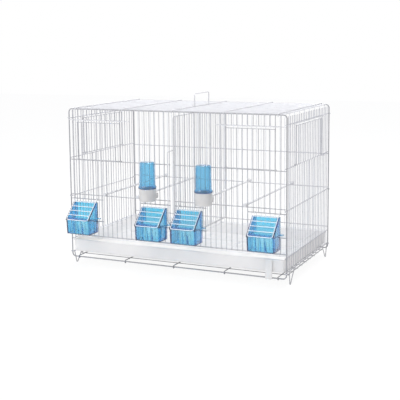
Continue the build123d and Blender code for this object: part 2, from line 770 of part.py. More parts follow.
def tray():
    """Pull-out tray: tapered shell with a rolled lip, two floor channels and a pull tab in front."""
    rim = z_tray_bar - TRAY_RIM_GAP
    low = rim - TRAY_DEPTH
    body = tray_block(0, low, rim)
    body += tray_block(-TRAY_LIP, rim - TRAY_LIP_HEIGHT, rim)
    width = 2 * (half_width - TRAY_SIDE_GAP - TRAY_DRAFT - CHANNEL_END_GAP)
    seat = z_low + hook_radius + RAIL_WIRE / 2 + CLEARANCE
    centre = -(TRAY_FRONT + TRAY_BACK_GAP) / 2
    for side in (-1, 1):
        y = centre + side * CHANNEL_SPACING / 2
        body += Pos(0, y, seat) * extrude(Rectangle(width, CHANNEL_WIDTH), low - seat + TRAY_WALL)
    body -= tray_block(TRAY_WALL, low + TRAY_WALL, rim)
    for side in (-1, 1):
        y = centre + side * CHANNEL_SPACING / 2
        groove = Rectangle(width - 2 * TRAY_WALL, CHANNEL_WIDTH - 2 * TRAY_WALL)
        body -= Pos(0, y, seat + TRAY_WALL) * extrude(groove, low - seat + TRAY_WALL)
    lip_middle = y_front - TRAY_FRONT - TRAY_LIP / 2
    tab = RectangleRounded(TAB_WIDTH, TAB_HEIGHT, TAB_CORNER)
    spot = facing(lip_middle) * Pos(half_width - TAB_INSET, rim - TAB_HEIGHT / 2)
    body += extrude(spot * tab, TAB_THICKNESS)
    return body


parts = {}
parts["front_frame"] = [panel_frame(y_front)]
parts["front_bars"] = front_bars()
parts["front_rails"] = front_rails()
parts["back_frame"] = [panel_frame(half_depth)]
parts["back_bars"] = back_bars()
parts["back_rails"] = back_rails()
parts["base_cross_wires"] = [base_cross_wire(x) for x in cross_x] + [base_edge_wire(way) for way in (-1, 1)]
parts["base_bars"] = cross_bars(z_low, base_y)
parts["roof_cross_wires"] = [roof_cross_wire(x) for x in cross_x]
parts["roof_bars"] = cross_bars(z_top, row_y)
parts["carry_handle"] = [carry_handle()]
parts["floor_grille"] = floor_grille()
parts["divider"] = divider()
parts["tray"] = [tray()]

door_near = beside(door_in)
door_far = beside(door_out)
parts["front_door_guides"] = []
for name, x0, x1 in (("left", -door_far, -door_near), ("right", door_near, door_far)):
    parts["front_door_" + name] = door(x0, x1, y_face, pitch, z_door_sill, z_door_head)
    parts["front_door_guides"].append(door_guide(x0, x1, y_face, pitch, z_door_head))

for name, turn in (("left", -90), ("right", 90)):
    place = Rot(0, 0, turn)
    parts[name + "_side_bars"] = [place * wire for wire in side_bars()]
    parts[name + "_side_rails"] = [place * wire for wire in side_rails() + [side_guide()]]
    parts[name + "_side_door"] = [place * wire for wire in side_door()]
    parts[name + "_feet"] = [place * wire for wire in feet()]

outer_feeder = (half_width + beside(outer_feeder_in)) / 2
inner_feeder = (beside(0) + beside(inner_feeder_out)) / 2
for i, x in enumerate((-outer_feeder, -inner_feeder, inner_feeder, outer_feeder), 1):
    parts[f"feeder_{i}"] = [feeder(x)]
    parts[f"feeder_flap_{i}"] = flap(x)

for name, gap in zip(("left", "right"), DRINKER_BARS):
    parts["drinker_cup_" + name] = [drinker_cup(gap * pitch)]
    parts["drinker_bottle_" + name] = [drinker_bottle(gap * pitch)]

for i, gap in enumerate(PERCH_BARS, 1):
    parts[f"perch_{i}"] = [perch(gap * pitch)]

whole = Compound(children=[Solid(s.solid().wrapped) for solids in parts.values() for s in solids])
box = whole.bounding_box()
centred = Pos(0, -(box.min.Y + box.max.Y) / 2, 0)
os.makedirs("parts", exist_ok=True)
for name, solids in parts.items():
    shape = Compound(children=[Solid((centred * s).solid().wrapped) for s in solids])
    shape.label = name
    export_step(shape, f"parts/{name}.step")
print(len(parts), "nodes,", sum(len(solids) for solids in parts.values()), "pieces, moved", centred.position)
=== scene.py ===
# %% [markdown]
# # A breeding cage for small birds
# The real cage is a box of coated wire panels that hook together, with two compartments. Four blue
# feeders and two drinkers hang on its front, perches run through it, and a tray slides in under a
# wire floor. Its solids come from a CAD model with flat-sided wires and plain edges. This lesson
# draws the wires round, gives the mouldings their soft edges, and adds the finishes, the light and
# the camera. The first step loads the CAD model as a fixed frame that carries every piece.

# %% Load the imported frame
from math import cos, radians, sin, sqrt

import bmesh
import bpy
import numpy as np
from mathutils import Matrix, Vector


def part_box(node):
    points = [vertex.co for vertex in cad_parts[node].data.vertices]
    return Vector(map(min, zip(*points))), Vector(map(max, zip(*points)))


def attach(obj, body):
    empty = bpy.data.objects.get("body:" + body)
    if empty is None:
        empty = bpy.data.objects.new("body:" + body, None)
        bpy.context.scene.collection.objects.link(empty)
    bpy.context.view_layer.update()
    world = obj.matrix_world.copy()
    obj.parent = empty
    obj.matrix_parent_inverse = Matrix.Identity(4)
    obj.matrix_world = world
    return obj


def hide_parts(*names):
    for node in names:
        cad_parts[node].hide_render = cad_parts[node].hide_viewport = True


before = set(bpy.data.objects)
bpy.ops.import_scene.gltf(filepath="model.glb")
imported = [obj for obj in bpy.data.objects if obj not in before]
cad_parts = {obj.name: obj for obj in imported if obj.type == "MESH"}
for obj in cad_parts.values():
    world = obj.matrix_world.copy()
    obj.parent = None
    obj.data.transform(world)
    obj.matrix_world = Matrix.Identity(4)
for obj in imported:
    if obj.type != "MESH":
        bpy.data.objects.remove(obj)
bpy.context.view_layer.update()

# %% [markdown]
# ## Setting out
# A wire panel is made on a jig: the bars lie in grooves at one spacing and the rails are welded
# across them. So the cage needs only a spacing for the bars, one for the rows from front to back,
# and the height of each rail. They are in millimetres about the middle of the four corner posts,
# because that is how a maker writes them. The CAD frame has its origin under the middle of the
# whole box, so the one shift that is needed is read from the two frame wires.

# %% Spacings, rail heights and planes
MM = 0.001
half_width, half_depth = 300.0, 172.0
z_low, z_top = 21.0, 414.0
z_tray_bar, z_feeder_sill, z_flap, z_perch = 81.0, 121.0, 178.0, 189.5
z_door_sill, z_door_head = 281.0, 386.0
z_nest_sill, z_nest_head = 286.0, 390.0
z_side_low, z_side_floor, z_side_mid = 34.0, 70.0, 184.5
play = 0.3

BARS, ROWS = 21, 24
bar_step = half_width / (BARS + 0.5)
row_step = 2 * half_depth / (ROWS + 1)
rows = (np.arange(ROWS) - (ROWS - 1) / 2) * row_step
cross_x = np.array([-20, -10, 0, 10, 20]) * bar_step

frame_wire, rail_wire, bar_wire, door_wire = 3.0, 2.4, 1.8, 2.0
rail_half, bar_half, door_half = (wire / 2 for wire in (rail_wire, bar_wire, door_wire))
y_front = -half_depth
y_weld = y_front - frame_wire / 2
y_rail = y_weld + rail_half
y_bar = y_weld - bar_half
y_face = y_weld - bar_wire
hook_radius = frame_wire / sqrt(3) + play + rail_half

frame_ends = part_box("front_frame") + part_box("back_frame")
y_middle = sum(corner.y for corner in frame_ends) / len(frame_ends)
print("bar spacing", round(bar_step, 2), "row spacing", round(row_step, 2), "shift", round(y_middle, 5))

# %% [markdown]
# ## From arrays to pieces
# Every new piece starts as arrays: points in millimetres and faces as rows of point numbers. A
# surface here is that pair. Blender could also build each wire from a curve with a bevel, but a
# cage has hundreds of wires, and one mesh for each panel is lighter and closes its own ends.

# %% Surfaces
def unit(vectors):
    """Each vector divided by its own length."""
    return vectors / np.linalg.norm(vectors, axis=-1, keepdims=True)


def grid_faces(count, round_count, closed=False):
    """Four-sided faces between neighbours on a grid: count rings of round_count points each."""
    spots = np.arange(count * round_count).reshape(count, round_count)
    ahead = np.roll(spots, -1, 0)
    faces = np.stack([spots, np.roll(spots, -1, 1), np.roll(ahead, -1, 1), ahead], -1)
    return faces[: count if closed else count - 1].reshape(-1, 4)


def tube_faces(count, round_count, closed=False):
    """Faces of a tube of rings: its walls and, unless it runs back into itself, a cap at each end."""
    walls = grid_faces(count, round_count, closed)
    spots = np.arange(round_count)[None]
    return [walls] if closed else [walls, spots[:, ::-1], spots + (count - 1) * round_count]


def repeated(blocks, copies, size):
    """Blocks of faces of a shape of size points, for a number of copies that follow one another."""
    first = np.arange(copies)[:, None, None] * size
    return [(block + first).reshape(-1, block.shape[1]) for block in blocks]


def together(*surfaces):
    """Several surfaces as one: points in a row, face numbers moved on by the points before them."""
    points, faces, first = [], [], 0
    for some_points, some_faces in surfaces:
        points.append(some_points)
        faces += [block + first for block in some_faces]
        first += len(some_points)
    return np.concatenate(points), faces


print("faces of an eight-sided tube", sum(len(block) for block in tube_faces(2, 8)))

# %% Pieces
SHARP_ANGLE = 38


def add_object(name, data):
    """Object that shows some data, linked into the scene."""
    thing = bpy.data.objects.new(name, data)
    bpy.context.scene.collection.objects.link(thing)
    return thing


def make_piece(name, surface, body, nodes, finish):
    """Mesh object at the origin: metres from millimetres, moved into the CAD frame, smooth but for edges."""
    points, faces = surface
    mesh = bpy.data.meshes.new(name)
    corners = [corner for block in faces for corner in block.tolist()]
    mesh.from_pydata((points * MM + [0, y_middle, 0]).tolist(), [], corners)
    mesh.polygons.foreach_set("use_smooth", np.ones(len(mesh.polygons), bool))
    mesh.set_sharp_from_angle(angle=radians(SHARP_ANGLE))
    mesh.materials.append(finish)
    mesh.update()
    piece = add_object(name, mesh)
    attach(piece, body)
    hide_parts(*nodes)
    print(name, len(mesh.polygons), "faces")
    return piece


print("edges are sharp from", SHARP_ANGLE, "degrees")

# %% [markdown]
# ## Clouds and grain for every finish
# Nothing made by moulding, drawing or dipping is one even colour. A dipped coat is thicker in some
# places, a moulding has flow marks, and all of them have a fine grain that breaks up the shine. Each
# material could hold its own noise, but one node group with two outputs serves them all: Cloud is a
# slow change for tone and gloss, Grain a fine one for bump.

# %% A shared node group
NOISE_LOW, NOISE_HIGH = 0.3, 0.7
# the sockets of a Mix node that mixes colours
MIX_SHARE, MIX_FIRST, MIX_SECOND, MIX_RESULT = 0, 6, 7, 2


def set_inputs(node, **values):
    """Each value goes to the node's input of that name, with spaces for underscores."""
    for name, value in values.items():
        node.inputs[name.replace("_", " ")].default_value = value
    return node


def add_node(tree, kind, **values):
    """New shader node of a kind, with some of its inputs set."""
    return set_inputs(tree.nodes.new("ShaderNode" + kind), **values)


def link(tree, *rows):
    """Each row joins an output of one node to an input of another."""
    for source, out, target, into in rows:
        tree.links.new(source.outputs[out], target.inputs[into])


def cloud_and_grain_group():
    """Noise of two sizes: Cloud at the first scale and Grain at the second, both from 0 to 1."""
    group = bpy.data.node_groups.new("cloud_and_grain", "ShaderNodeTree")
    group.interface.new_socket("Place", in_out="INPUT", socket_type="NodeSocketVector")
    for socket in ("Cloud Scale", "Grain Scale"):
        group.interface.new_socket(socket, in_out="INPUT", socket_type="NodeSocketFloat")
    for socket in ("Cloud", "Grain"):
        group.interface.new_socket(socket, in_out="OUTPUT", socket_type="NodeSocketFloat")
    taken = group.nodes.new("NodeGroupInput")
    given = group.nodes.new("NodeGroupOutput")
    for socket, detail in (("Cloud", 3.0), ("Grain", 2.0)):
        noise = add_node(group, "TexNoise", Detail=detail)
        spread = add_node(group, "MapRange", From_Min=NOISE_LOW, From_Max=NOISE_HIGH)
        link(
            group,
            (taken, "Place", noise, "Vector"),
            (taken, socket + " Scale", noise, "Scale"),
            (noise, "Fac", spread, "Value"),
            (spread, "Result", given, socket),
        )
    return group


cloud_and_grain = cloud_and_grain_group()
print("node group", cloud_and_grain.name)

# %% A finish from the group
def make_finish(name, tones, gloss, scales, bump):
    """Principled material: tone and roughness follow Cloud between two values each, bump follows Grain."""
    finish = bpy.data.materials.new(name)
    finish.use_nodes = True
    tree = finish.node_tree
    shader, place = tree.nodes["Principled BSDF"], add_node(tree, "TexCoord")
    marks = add_node(tree, "Group")
    marks.node_tree = cloud_and_grain
    set_inputs(marks, Cloud_Scale=scales[0], Grain_Scale=scales[1])
    tone = add_node(tree, "Mix")
    tone.data_type = "RGBA"
    for socket, colour in zip((MIX_FIRST, MIX_SECOND), tones):
        tone.inputs[socket].default_value = (*colour, 1)
    rough = add_node(tree, "MapRange", To_Min=gloss[0], To_Max=gloss[1])
    raised = add_node(tree, "Bump", Strength=bump[0], Distance=bump[1])
    link(
        tree,
        (place, "Object", marks, "Place"),
        (marks, "Cloud", tone, MIX_SHARE),
        (tone, MIX_RESULT, shader, "Base Color"),
        (marks, "Cloud", rough, "Value"),
        (rough, "Result", shader, "Roughness"),
        (marks, "Grain", raised, "Height"),
        (raised, "Normal", shader, "Normal"),
    )
    print("finish", name)
    return finish

# %% [markdown]
# ## The finishes
# The wire is dipped in white plastic: nearly white, a little cold, and glossy like enamel. In a white
# room a white wire has nothing dark to reflect and would vanish, so the coat is mixed in five tones,
# from the grey of the frame wires, which draw the outline, to the white of the wires inside. Only the
# whitest tone is the coat's own colour. The four greyer ones are painted shade: greyest on the frame
# wires and the front, paler on the sides and the roof. Feeders and bottles are clear blue plastic.
# What makes it look like plastic is that the colour deepens with thickness, so the blue sits in a
# volume that takes up red and green, not only on the surface. Most of a lamp's light passes through
# it, so its shadows stay pale. Cups and tray are a warm off-white moulding, and the perches a pale
# grey one.

# %% Coated wire, blue plastic, off-white and grey mouldings
def make_coat(name, tones):
    """Dipped coat on wire: even gloss with a thin clear layer over it."""
    finish = make_finish(name, tones, gloss=(0.26, 0.40), scales=(60.0, 900.0), bump=(0.15, 0.0002))
    set_inputs(finish.node_tree.nodes["Principled BSDF"], Coat_Weight=0.25, Coat_Roughness=0.12)
    return finish


# The four greyer coats are painted shade on one white coat: greyest for the frame, then the front, the sides
# and the roof. The inner coat is the white itself.
frame_coat_painted_shade = make_coat("frame_wire_painted_shade", [(0.36, 0.36, 0.38), (0.43, 0.43, 0.45)])
front_coat_painted_shade = make_coat("front_wire_painted_shade", [(0.46, 0.46, 0.48), (0.54, 0.54, 0.56)])
side_coat_painted_shade = make_coat("side_wire_painted_shade", [(0.55, 0.55, 0.58), (0.63, 0.63, 0.66)])
roof_coat_painted_shade = make_coat("roof_wire_painted_shade", [(0.66, 0.66, 0.68), (0.74, 0.74, 0.76)])
inner_coat = make_coat("inner_dipped_wire", [(0.86, 0.87, 0.90), (0.92, 0.93, 0.95)])


SHADOW_LIGHT = 0.7


def make_clear_blue(name, tones, colour, density):
    """Clear plastic: nearly full transmission, with an even volume that takes up what its colour lacks."""
    finish = make_finish(name, tones, gloss=(0.02, 0.06), scales=(35.0, 120.0), bump=(0.02, 0.0002))
    tree = finish.node_tree
    shader, out = tree.nodes["Principled BSDF"], tree.nodes["Material Output"]
    set_inputs(shader, Transmission_Weight=0.95, IOR=1.33, Coat_Weight=1.0, Coat_Roughness=0.03)
    depth = add_node(tree, "VolumeAbsorption", Color=(*colour, 1), Density=density)
    open_way = add_node(tree, "BsdfTransparent", Color=(SHADOW_LIGHT, SHADOW_LIGHT, SHADOW_LIGHT, 1))
    path, choice = add_node(tree, "LightPath"), add_node(tree, "MixShader")
    link(
        tree,
        (depth, "Volume", out, "Volume"),
        (path, "Is Shadow Ray", choice, 0),
        (shader, 0, choice, 1),
        (open_way, 0, choice, 2),
        (choice, 0, out, "Surface"),
    )
    return finish


feeder_tones = [(0.93, 0.96, 0.98), (0.97, 0.98, 0.99)]
feeder_blue = make_clear_blue("feeder_clear_blue", feeder_tones, (0.02, 0.788, 0.938), density=740.0)
bottle_tones = [(0.90, 0.95, 0.97), (0.95, 0.97, 0.98)]
bottle_blue = make_clear_blue("bottle_clear_blue", bottle_tones, (0.02, 0.71, 0.913), density=620.0)
cup_white = make_finish(
    "cup_warm_white",
    tones=[(0.62, 0.61, 0.60), (0.70, 0.69, 0.67)],
    gloss=(0.32, 0.46), scales=(40.0, 700.0), bump=(0.12, 0.0002),
)
tray_white = make_finish(
    "tray_warm_white",
    tones=[(0.85, 0.835, 0.815), (0.90, 0.885, 0.865)],
    gloss=(0.36, 0.52), scales=(14.0, 420.0), bump=(0.18, 0.0003),
)
perch_grey = make_finish(
    "perch_pale_grey",
    tones=[(0.70, 0.70, 0.71), (0.78, 0.78, 0.79)],
    gloss=(0.42, 0.58), scales=(50.0, 600.0), bump=(0.25, 0.0003),
)

# %% [markdown]
# ## Round wire
# Straight bars are the bulk of the cage. A bar is a circle carried from one end to the other, with
# its cut ends drawn in a little where the coat has closed over them. All bars of a panel are worked
# out at once: one array holds every start, one every end, and numpy spreads the circle over them.
# Ten sides are enough at this size, because the shading rounds them off.

# %% Straight wires
SIDES = 10
turn = np.arange(SIDES) * 2 * np.pi / SIDES
circle = np.stack([np.cos(turn), np.sin(turn)], -1)
END_SHARE, END_EASE, UPRIGHT = 0.6, 0.4, 0.9


def straight_wires(start, end, radius):
    """Ring point = start + along * way + size * (cos turn * side + sin turn * lift).

    Start and end have three coordinates, each a number or an array with one for every wire. Along is
    0, a small ease, length less that ease, and length; size is the radius, drawn in at both ends.
    """
    coordinates = np.stack(np.broadcast_arrays(*np.atleast_1d(*start, *end)), -1).astype(float)
    starts, ends = coordinates[:, :3], coordinates[:, 3:]
    length = np.linalg.norm(ends - starts, axis=1)
    way = (ends - starts) / length[:, None]
    side = unit(np.cross(way, np.where(np.abs(way[:, 2:]) > UPRIGHT, [1.0, 0, 0], [0, 0, 1.0])))
    lift = np.cross(way, side)
    ring = circle[:, 0, None] * side[:, None] + circle[:, 1, None] * lift[:, None]
    ease = END_EASE * radius
    along = np.stack([0 * length, 0 * length + ease, length - ease, length], 1)
    size = radius * np.array([END_SHARE, 1, 1, END_SHARE])
    points = starts[:, None, None] + along[:, :, None, None] * way[:, None, None]
    points = points + size[None, :, None, None] * ring[:, None]
    faces = repeated(tube_faces(len(size), SIDES), len(starts), len(size) * SIDES)
    return points.reshape(-1, 3), faces


def upright_bars(x, y, low, high, radius):
    """Straight wires that stand at each x and y between two heights."""
    return straight_wires((x, y, low), (x, y, high), radius)


def level_bars(x0, x1, y, z, radius):
    """Straight wires that run across the cage at each y and z."""
    return straight_wires((x0, y, z), (x1, y, z), radius)


def deep_bars(x, y, z, radius):
    """Straight wires that run from front to back, from -y to y, at each x and z."""
    return straight_wires((x, -y, z), (x, y, z), radius)


print("points of a straight wire", len(upright_bars(0, 0, 0, 1, 1)[0]))

# %% [markdown]
# Frames, hooks, eyes and loops are bent from one length of wire. The path comes first: straight runs
# joined by arcs, as a bending machine makes them. Then the same circle is carried along it. At each
# point of the path the ring stands square to the way the wire runs; for that it needs one direction
# that the wire never takes, and for a flat bend the direction square to its plane is the natural one.

# %% Bent wires
def eased_path(corners, bend, closed=False, steps=5):
    """Runs through corners, each inner corner an arc of radius bend that touches both its runs.

    Arc point = centre + (sin((1 - s) a) * first + sin(s a) * last) / sin a, with s from 0 to 1.
    """
    corners = np.asarray(corners, float)
    inner = corners if closed else corners[1:-1]
    back = unit((np.roll(corners, 1, 0) if closed else corners[:-2]) - inner)
    ahead = unit((np.roll(corners, -1, 0) if closed else corners[2:]) - inner)
    half = np.arccos(np.clip((back * ahead).sum(1), -1, 1))[:, None] / 2
    centre = inner + unit(back + ahead) * bend / np.sin(half)
    first = inner + back * bend / np.tan(half) - centre
    last = inner + ahead * bend / np.tan(half) - centre
    sweep = np.pi - 2 * half
    share = np.linspace(0, 1, steps + 1)
    near = np.sin((1 - share) * sweep) / np.sin(sweep)
    far = np.sin(share * sweep) / np.sin(sweep)
    arcs = centre[:, None] + near[..., None] * first[:, None] + far[..., None] * last[:, None]
    arcs = arcs.reshape(-1, corners.shape[1])
    return arcs if closed else np.concatenate([corners[:1], arcs, corners[-1:]])


def arc_path(centre, start, toward, angle, steps=14):
    """Points centre + cos t * spoke + sin t * radius * toward, where the spoke ends at start."""
    centre, spoke = np.asarray(centre, float), np.asarray(start, float) - centre
    aside = unit(np.asarray(toward, float)) * np.linalg.norm(spoke)
    turned = np.linspace(0, radians(angle), steps + 1)[:, None]
    return centre + np.cos(turned) * spoke + np.sin(turned) * aside


def bent_wire(path, radius, closed=False, lean=None):
    """Ring point = path point + size * (cos turn * side + sin turn * lift).

    Way is the path's direction; side is lean less its share along the way; lift is square to both.
    """
    path = np.asarray(path, float)
    size = np.full(len(path) + (0 if closed else 2), float(radius))
    if not closed:
        ease = END_EASE * radius
        inner = path[[0, -1]] + ease * unit(path[[1, -2]] - path[[0, -1]])
        path = np.concatenate([path[:1], inner[:1], path[1:-1], inner[1:], path[-1:]])
        size[[0, -1]] *= END_SHARE
    way = unit(np.roll(path, -1, 0) - np.roll(path, 1, 0) if closed else np.gradient(path, axis=0))
    if lean is None:
        lean = np.linalg.svd(path - path.mean(0))[2][2]
    side = unit(lean - (way @ lean)[:, None] * way)
    lift = np.cross(way, side)
    ring = circle[:, 0, None] * side[:, None] + circle[:, 1, None] * lift[:, None]
    points = path[:, None] + size[:, None, None] * ring
    return points.reshape(-1, 3), tube_faces(len(path), SIDES, closed)


def flat_points(pairs, plane, level):
    """Pairs set in a plane of the cage: "yz" at a distance across, "xz" at a depth or "xy" at a height."""
    return np.insert(np.asarray(pairs, float), ("yz", "xz", "xy").index(plane), level, axis=1)


def flat_wire(corners, bend, plane, level, radius, closed=False, steps=5):
    """Wire through eased corners that lie in one plane of the cage."""
    return bent_wire(flat_points(eased_path(corners, bend, closed, steps), plane, level), radius, closed)


def rectangle(x0, x1, y0, y1):
    """Four corners, counted to the left."""
    return [(x0, y0), (x1, y0), (x1, y1), (x0, y1)]


def hoop(x0, x1, y0, y1):
    """Four corners of a loop that is open at y0."""
    return [(x0, y0), (x0, y1), (x1, y1), (x1, y0)]


print("points of a path with one bend", len(eased_path([(0, 0), (9, 0), (9, 9)], 3.0)))

# %% [markdown]
# Where two wires cross they are spot welded, and the dipped coat pools round the weld. It is a small
# thing, but without it the wires look laid over each other. Each pool is a small ball of a few
# faces, since there are hundreds of them.

# %% Weld pools
POOL_SIDES, POOL_RISE = 6, radians(35)
pool_spot = np.arange(POOL_SIDES)
pool_turn = pool_spot * 2 * np.pi / POOL_SIDES
pool_ring = np.stack([np.cos(pool_turn), np.sin(pool_turn), 0 * pool_turn], -1) * cos(POOL_RISE)
pool_lift = np.array([0, 0, sin(POOL_RISE)])
pool_shape = np.concatenate([pool_ring - pool_lift, pool_ring + pool_lift, [[0, 0, -1], [0, 0, 1]]])
pool_next = np.roll(pool_spot, -1)
pool_foot = pool_spot * 0 + 2 * POOL_SIDES
pool_bottom = np.stack([pool_foot, pool_next, pool_spot], -1)
pool_top = np.stack([pool_foot + 1, pool_spot + POOL_SIDES, pool_next + POOL_SIDES], -1)
pool_faces = [grid_faces(2, POOL_SIDES), pool_bottom, pool_top]


def weld_pools(x, y, z, radius):
    """Ball at each mix of x, y and z: spot + radius * (cos rise cos turn, cos rise sin turn, sin rise)."""
    spots = np.stack(np.meshgrid(x, y, z, indexing="ij"), -1).reshape(-1, 3)
    points = spots[:, None] + radius * pool_shape
    return points.reshape(-1, 3), repeated(pool_faces, len(spots), len(pool_shape))


print("weld pool of", len(pool_shape), "points")

# %% [markdown]
# ## The front and back panels
# Each is a rectangle of heavier wire with bent corners, rails welded to it, and bars in front. The
# front bars are broken for the doors and the feeders, and the rails leave a slot in the middle for
# the divider. The radii are a touch larger than half the width of the CAD's flat-sided wires, because
# a round wire of the same width looks thinner.

# %% Front and back frames
frame_radius, rail_radius, bar_radius, pool_radius = 1.6, 1.25, 0.92, 1.55
FRAME_BEND, FRAME_STEPS = 9.0, 8
frame_corners = rectangle(-half_width, half_width, z_low, z_top)
for side, y in (("front", y_front), ("back", half_depth)):
    loop = flat_wire(frame_corners, FRAME_BEND, "xz", y, frame_radius, True, FRAME_STEPS)
    make_piece(side + "_frame_wire", loop, "cage", [side + "_frame"], frame_coat_painted_shade)

# %% Front bars and rails
bar_lap = frame_wire / 4
beside = (np.arange(BARS) + 0.5) * bar_step
both = np.concatenate([-beside[::-1], beside])
# bars beside the openings, counted from the slot outwards
door_in, door_out = 10, 19
feeder_near, feeder_far = 6, 14


def front_runs(k):
    """Heights between which front bar k runs: broken at its door opening and its feeder opening."""
    breaks = []
    if 0 < k < feeder_near or k > feeder_far:
        breaks.append((z_feeder_sill, z_flap))
    if door_in < k < door_out:
        breaks.append((z_door_sill, z_door_head))
    ends = [z_tray_bar - rail_half]
    for sill, head in breaks:
        ends += [sill + rail_half, head - rail_half]
    ends.append(z_top + bar_lap)
    return [(beside[k], low, high) for low, high in zip(ends[::2], ends[1::2])]


def both_ways(lines):
    """Distances to one side of the middle, and the same ones to the other."""
    lines = np.asarray(lines, float)
    return np.concatenate([-lines, lines])


runs = np.array([run for k in range(BARS) for run in front_runs(k)])
runs = np.concatenate([runs, runs * [-1, 1, 1]])
y_pool = (y_bar + y_rail) / 2
feeder_bars = np.concatenate([beside[: feeder_near + 1], beside[feeder_far:]])
door_bars = beside[door_in - 1 : door_out + 2]
front_welds = together(
    weld_pools(both, [y_pool], [z_tray_bar, z_perch, z_door_sill, z_top], pool_radius),
    weld_pools(both_ways(feeder_bars), [y_pool], [z_feeder_sill, z_flap], pool_radius),
    weld_pools(both_ways(door_bars), [y_pool], [z_door_head], pool_radius),
)
front_bars = together(upright_bars(runs[:, 0], y_bar, runs[:, 1], runs[:, 2], bar_radius), front_welds)
make_piece("front_bar_wires", front_bars, "cage", ["front_bars"], front_coat_painted_shade)

rail_end = half_width - frame_wire / sqrt(3)
slot_edge = beside[0] - bar_half
spans = [(slot_edge, rail_end, z_door_sill), (slot_edge, rail_end, z_perch)]
spans.append((beside[door_in - 1] - bar_half, beside[door_out + 1] + bar_half, z_door_head))
for z in (z_feeder_sill, z_flap):
    spans.append((slot_edge, beside[feeder_near] + bar_half, z))
    spans.append((beside[feeder_far] - bar_half, rail_end, z))
spans = np.array(spans)
spans = np.concatenate([spans, spans * [-1, -1, 1], [[-rail_end, rail_end, z_tray_bar]]])
front_rails = level_bars(spans[:, 0], spans[:, 1], y_rail, spans[:, 2], rail_radius)
make_piece("front_rail_wires", front_rails, "cage", ["front_rails"], front_coat_painted_shade)

# %% Back bars and rails
back_levels = [z_tray_bar, z_perch, z_door_sill]
back_bars = together(
    upright_bars(both, -y_bar, z_low - bar_lap, z_top + bar_lap, bar_radius),
    weld_pools(both, [-y_pool], [z_low, *back_levels, z_top], pool_radius),
)
make_piece("back_bar_wires", back_bars, "cage", ["back_bars"], inner_coat)
back_rails = level_bars(-rail_end, rail_end, -y_rail, back_levels, rail_radius)
make_piece("back_rail_wires", back_rails, "cage", ["back_rails"], side_coat_painted_shade)

# %% [markdown]
# ## Lift-up doors
# A front door is a small grille outside the panel. Its lowest wire is hooked round the bars at both
# sides, so the door can only slide up, and a joggled wire welded across the panel keeps its top in.
# A bow of wire at the bottom is the finger grip. The nest box doors in the sides are of the same
# make, so both come from one function, drawn as if for the front.

# %% Doors and their guides
door_radius, slim_radius, door_pool = 1.0, 0.92, 1.35
HOOK_PLAY, HOOK_BEND, HOOK_STEPS = 0.4, 1.2, 4
DOOR_TOP_GAP = 6.0
GUIDE_JOGGLE, GUIDE_BEND = 5.0, 3.0
BOW_WIDTH, BOW_REACH, BOW_BEND = 16.0, 9.0, 3.5


def door_wires(x0, x1, face, step, sill, head):
    """Sliding grille before bars at x0 and x1: hooked low wire, high wire, uprights and finger bow."""
    y_upright = face - play - bar_half
    y_wire = face - play - bar_wire - door_half
    y_hook = face + bar_wire + HOOK_PLAY + door_half
    out = bar_half + HOOK_PLAY + door_half
    tail = bar_half + door_half
    low = sill + rail_half + play + door_half
    high = head - DOOR_TOP_GAP
    hooked = [(x0 + tail, y_hook), (x0 - out, y_hook), (x0 - out, y_wire)]
    hooked += [(x1 + out, y_wire), (x1 + out, y_hook), (x1 - tail, y_hook)]
    across = np.arange(x0, x1 + step / 2, step)
    y_bow = y_wire - door_half
    x_bow = x1 - step - BOW_WIDTH / 2
    bow = hoop(x_bow, x_bow + BOW_WIDTH, y_bow, y_bow - BOW_REACH)
    return together(
        flat_wire(hooked, HOOK_BEND, "xy", low, door_radius, steps=HOOK_STEPS),
        level_bars(x0 - bar_half, x1 + bar_half, y_wire, [high], door_radius),
        upright_bars(across, y_upright, low - door_half, high + door_half, slim_radius),
        weld_pools(across, [(y_upright + y_wire) / 2], [low, high], door_pool),
        flat_wire(bow, BOW_BEND, "xy", low, door_radius),
    )


def guide_wire(x0, x1, face, step, z):
    """Wire welded to the bars at its ends and joggled out in front of the door between them."""
    y_end = face - door_half
    y_out = y_end - 2 * play - bar_wire - door_wire
    left, right = x0 - step / 2, x1 + step / 2
    points = [(x0 - 2 * step, y_end), (left - GUIDE_JOGGLE, y_end), (left, y_out)]
    points += [(right, y_out), (right + GUIDE_JOGGLE, y_end), (x1 + 2 * step, y_end)]
    return flat_wire(points, GUIDE_BEND, "xy", z, door_radius)


near, far = beside[door_in], beside[door_out]
guides = []
for side, x0, x1 in (("left", -far, -near), ("right", near, far)):
    surface = door_wires(x0, x1, y_face, bar_step, z_door_sill, z_door_head)
    name = "front_door_" + side
    make_piece(name + "_wires", surface, name, [name], front_coat_painted_shade)
    guides.append(guide_wire(x0, x1, y_face, bar_step, z_door_head))
make_piece("front_guide_wires", together(*guides), "cage", ["front_door_guides"], roof_coat_painted_shade)

# %% [markdown]
# ## Side panels and feet
# A side panel is hung between the front and the back: three of its rails curl round the corner posts
# and lock the cage together. The panel is drawn once as if it were the front and then turned to the
# left and to the right, which keeps the faces outward where a mirror would turn them over. The feet
# are a narrow V of the same wire; one of each panel stands close to its corner, the other farther in.

# %% Side panels
EYE_ANGLE, CURL_STEPS = 240, 14
SIDE_TOP_GAP, NEST_ROWS = 4.0, 7.5
nest_edge = NEST_ROWS * row_step
y_side_rail = -half_width + hook_radius
side_face = y_side_rail - rail_half - bar_wire


def curled_wire(centre, spoke, way):
    """Wire that curls round centre from centre + spoke on, and its mirror image at the other end."""
    curl = arc_path(centre, np.add(centre, spoke), way, EYE_ANGLE, CURL_STEPS)
    other = curl * (1 - 2 * np.array(way))
    return bent_wire(np.concatenate([other[::-1], curl]), rail_radius)


def hooked_rail(z):
    """Rail whose two ends curl round the corner posts, away from the inside of the cage."""
    return curled_wire((half_depth, -half_width, z), (0, hook_radius, 0), (1, 0, 0))


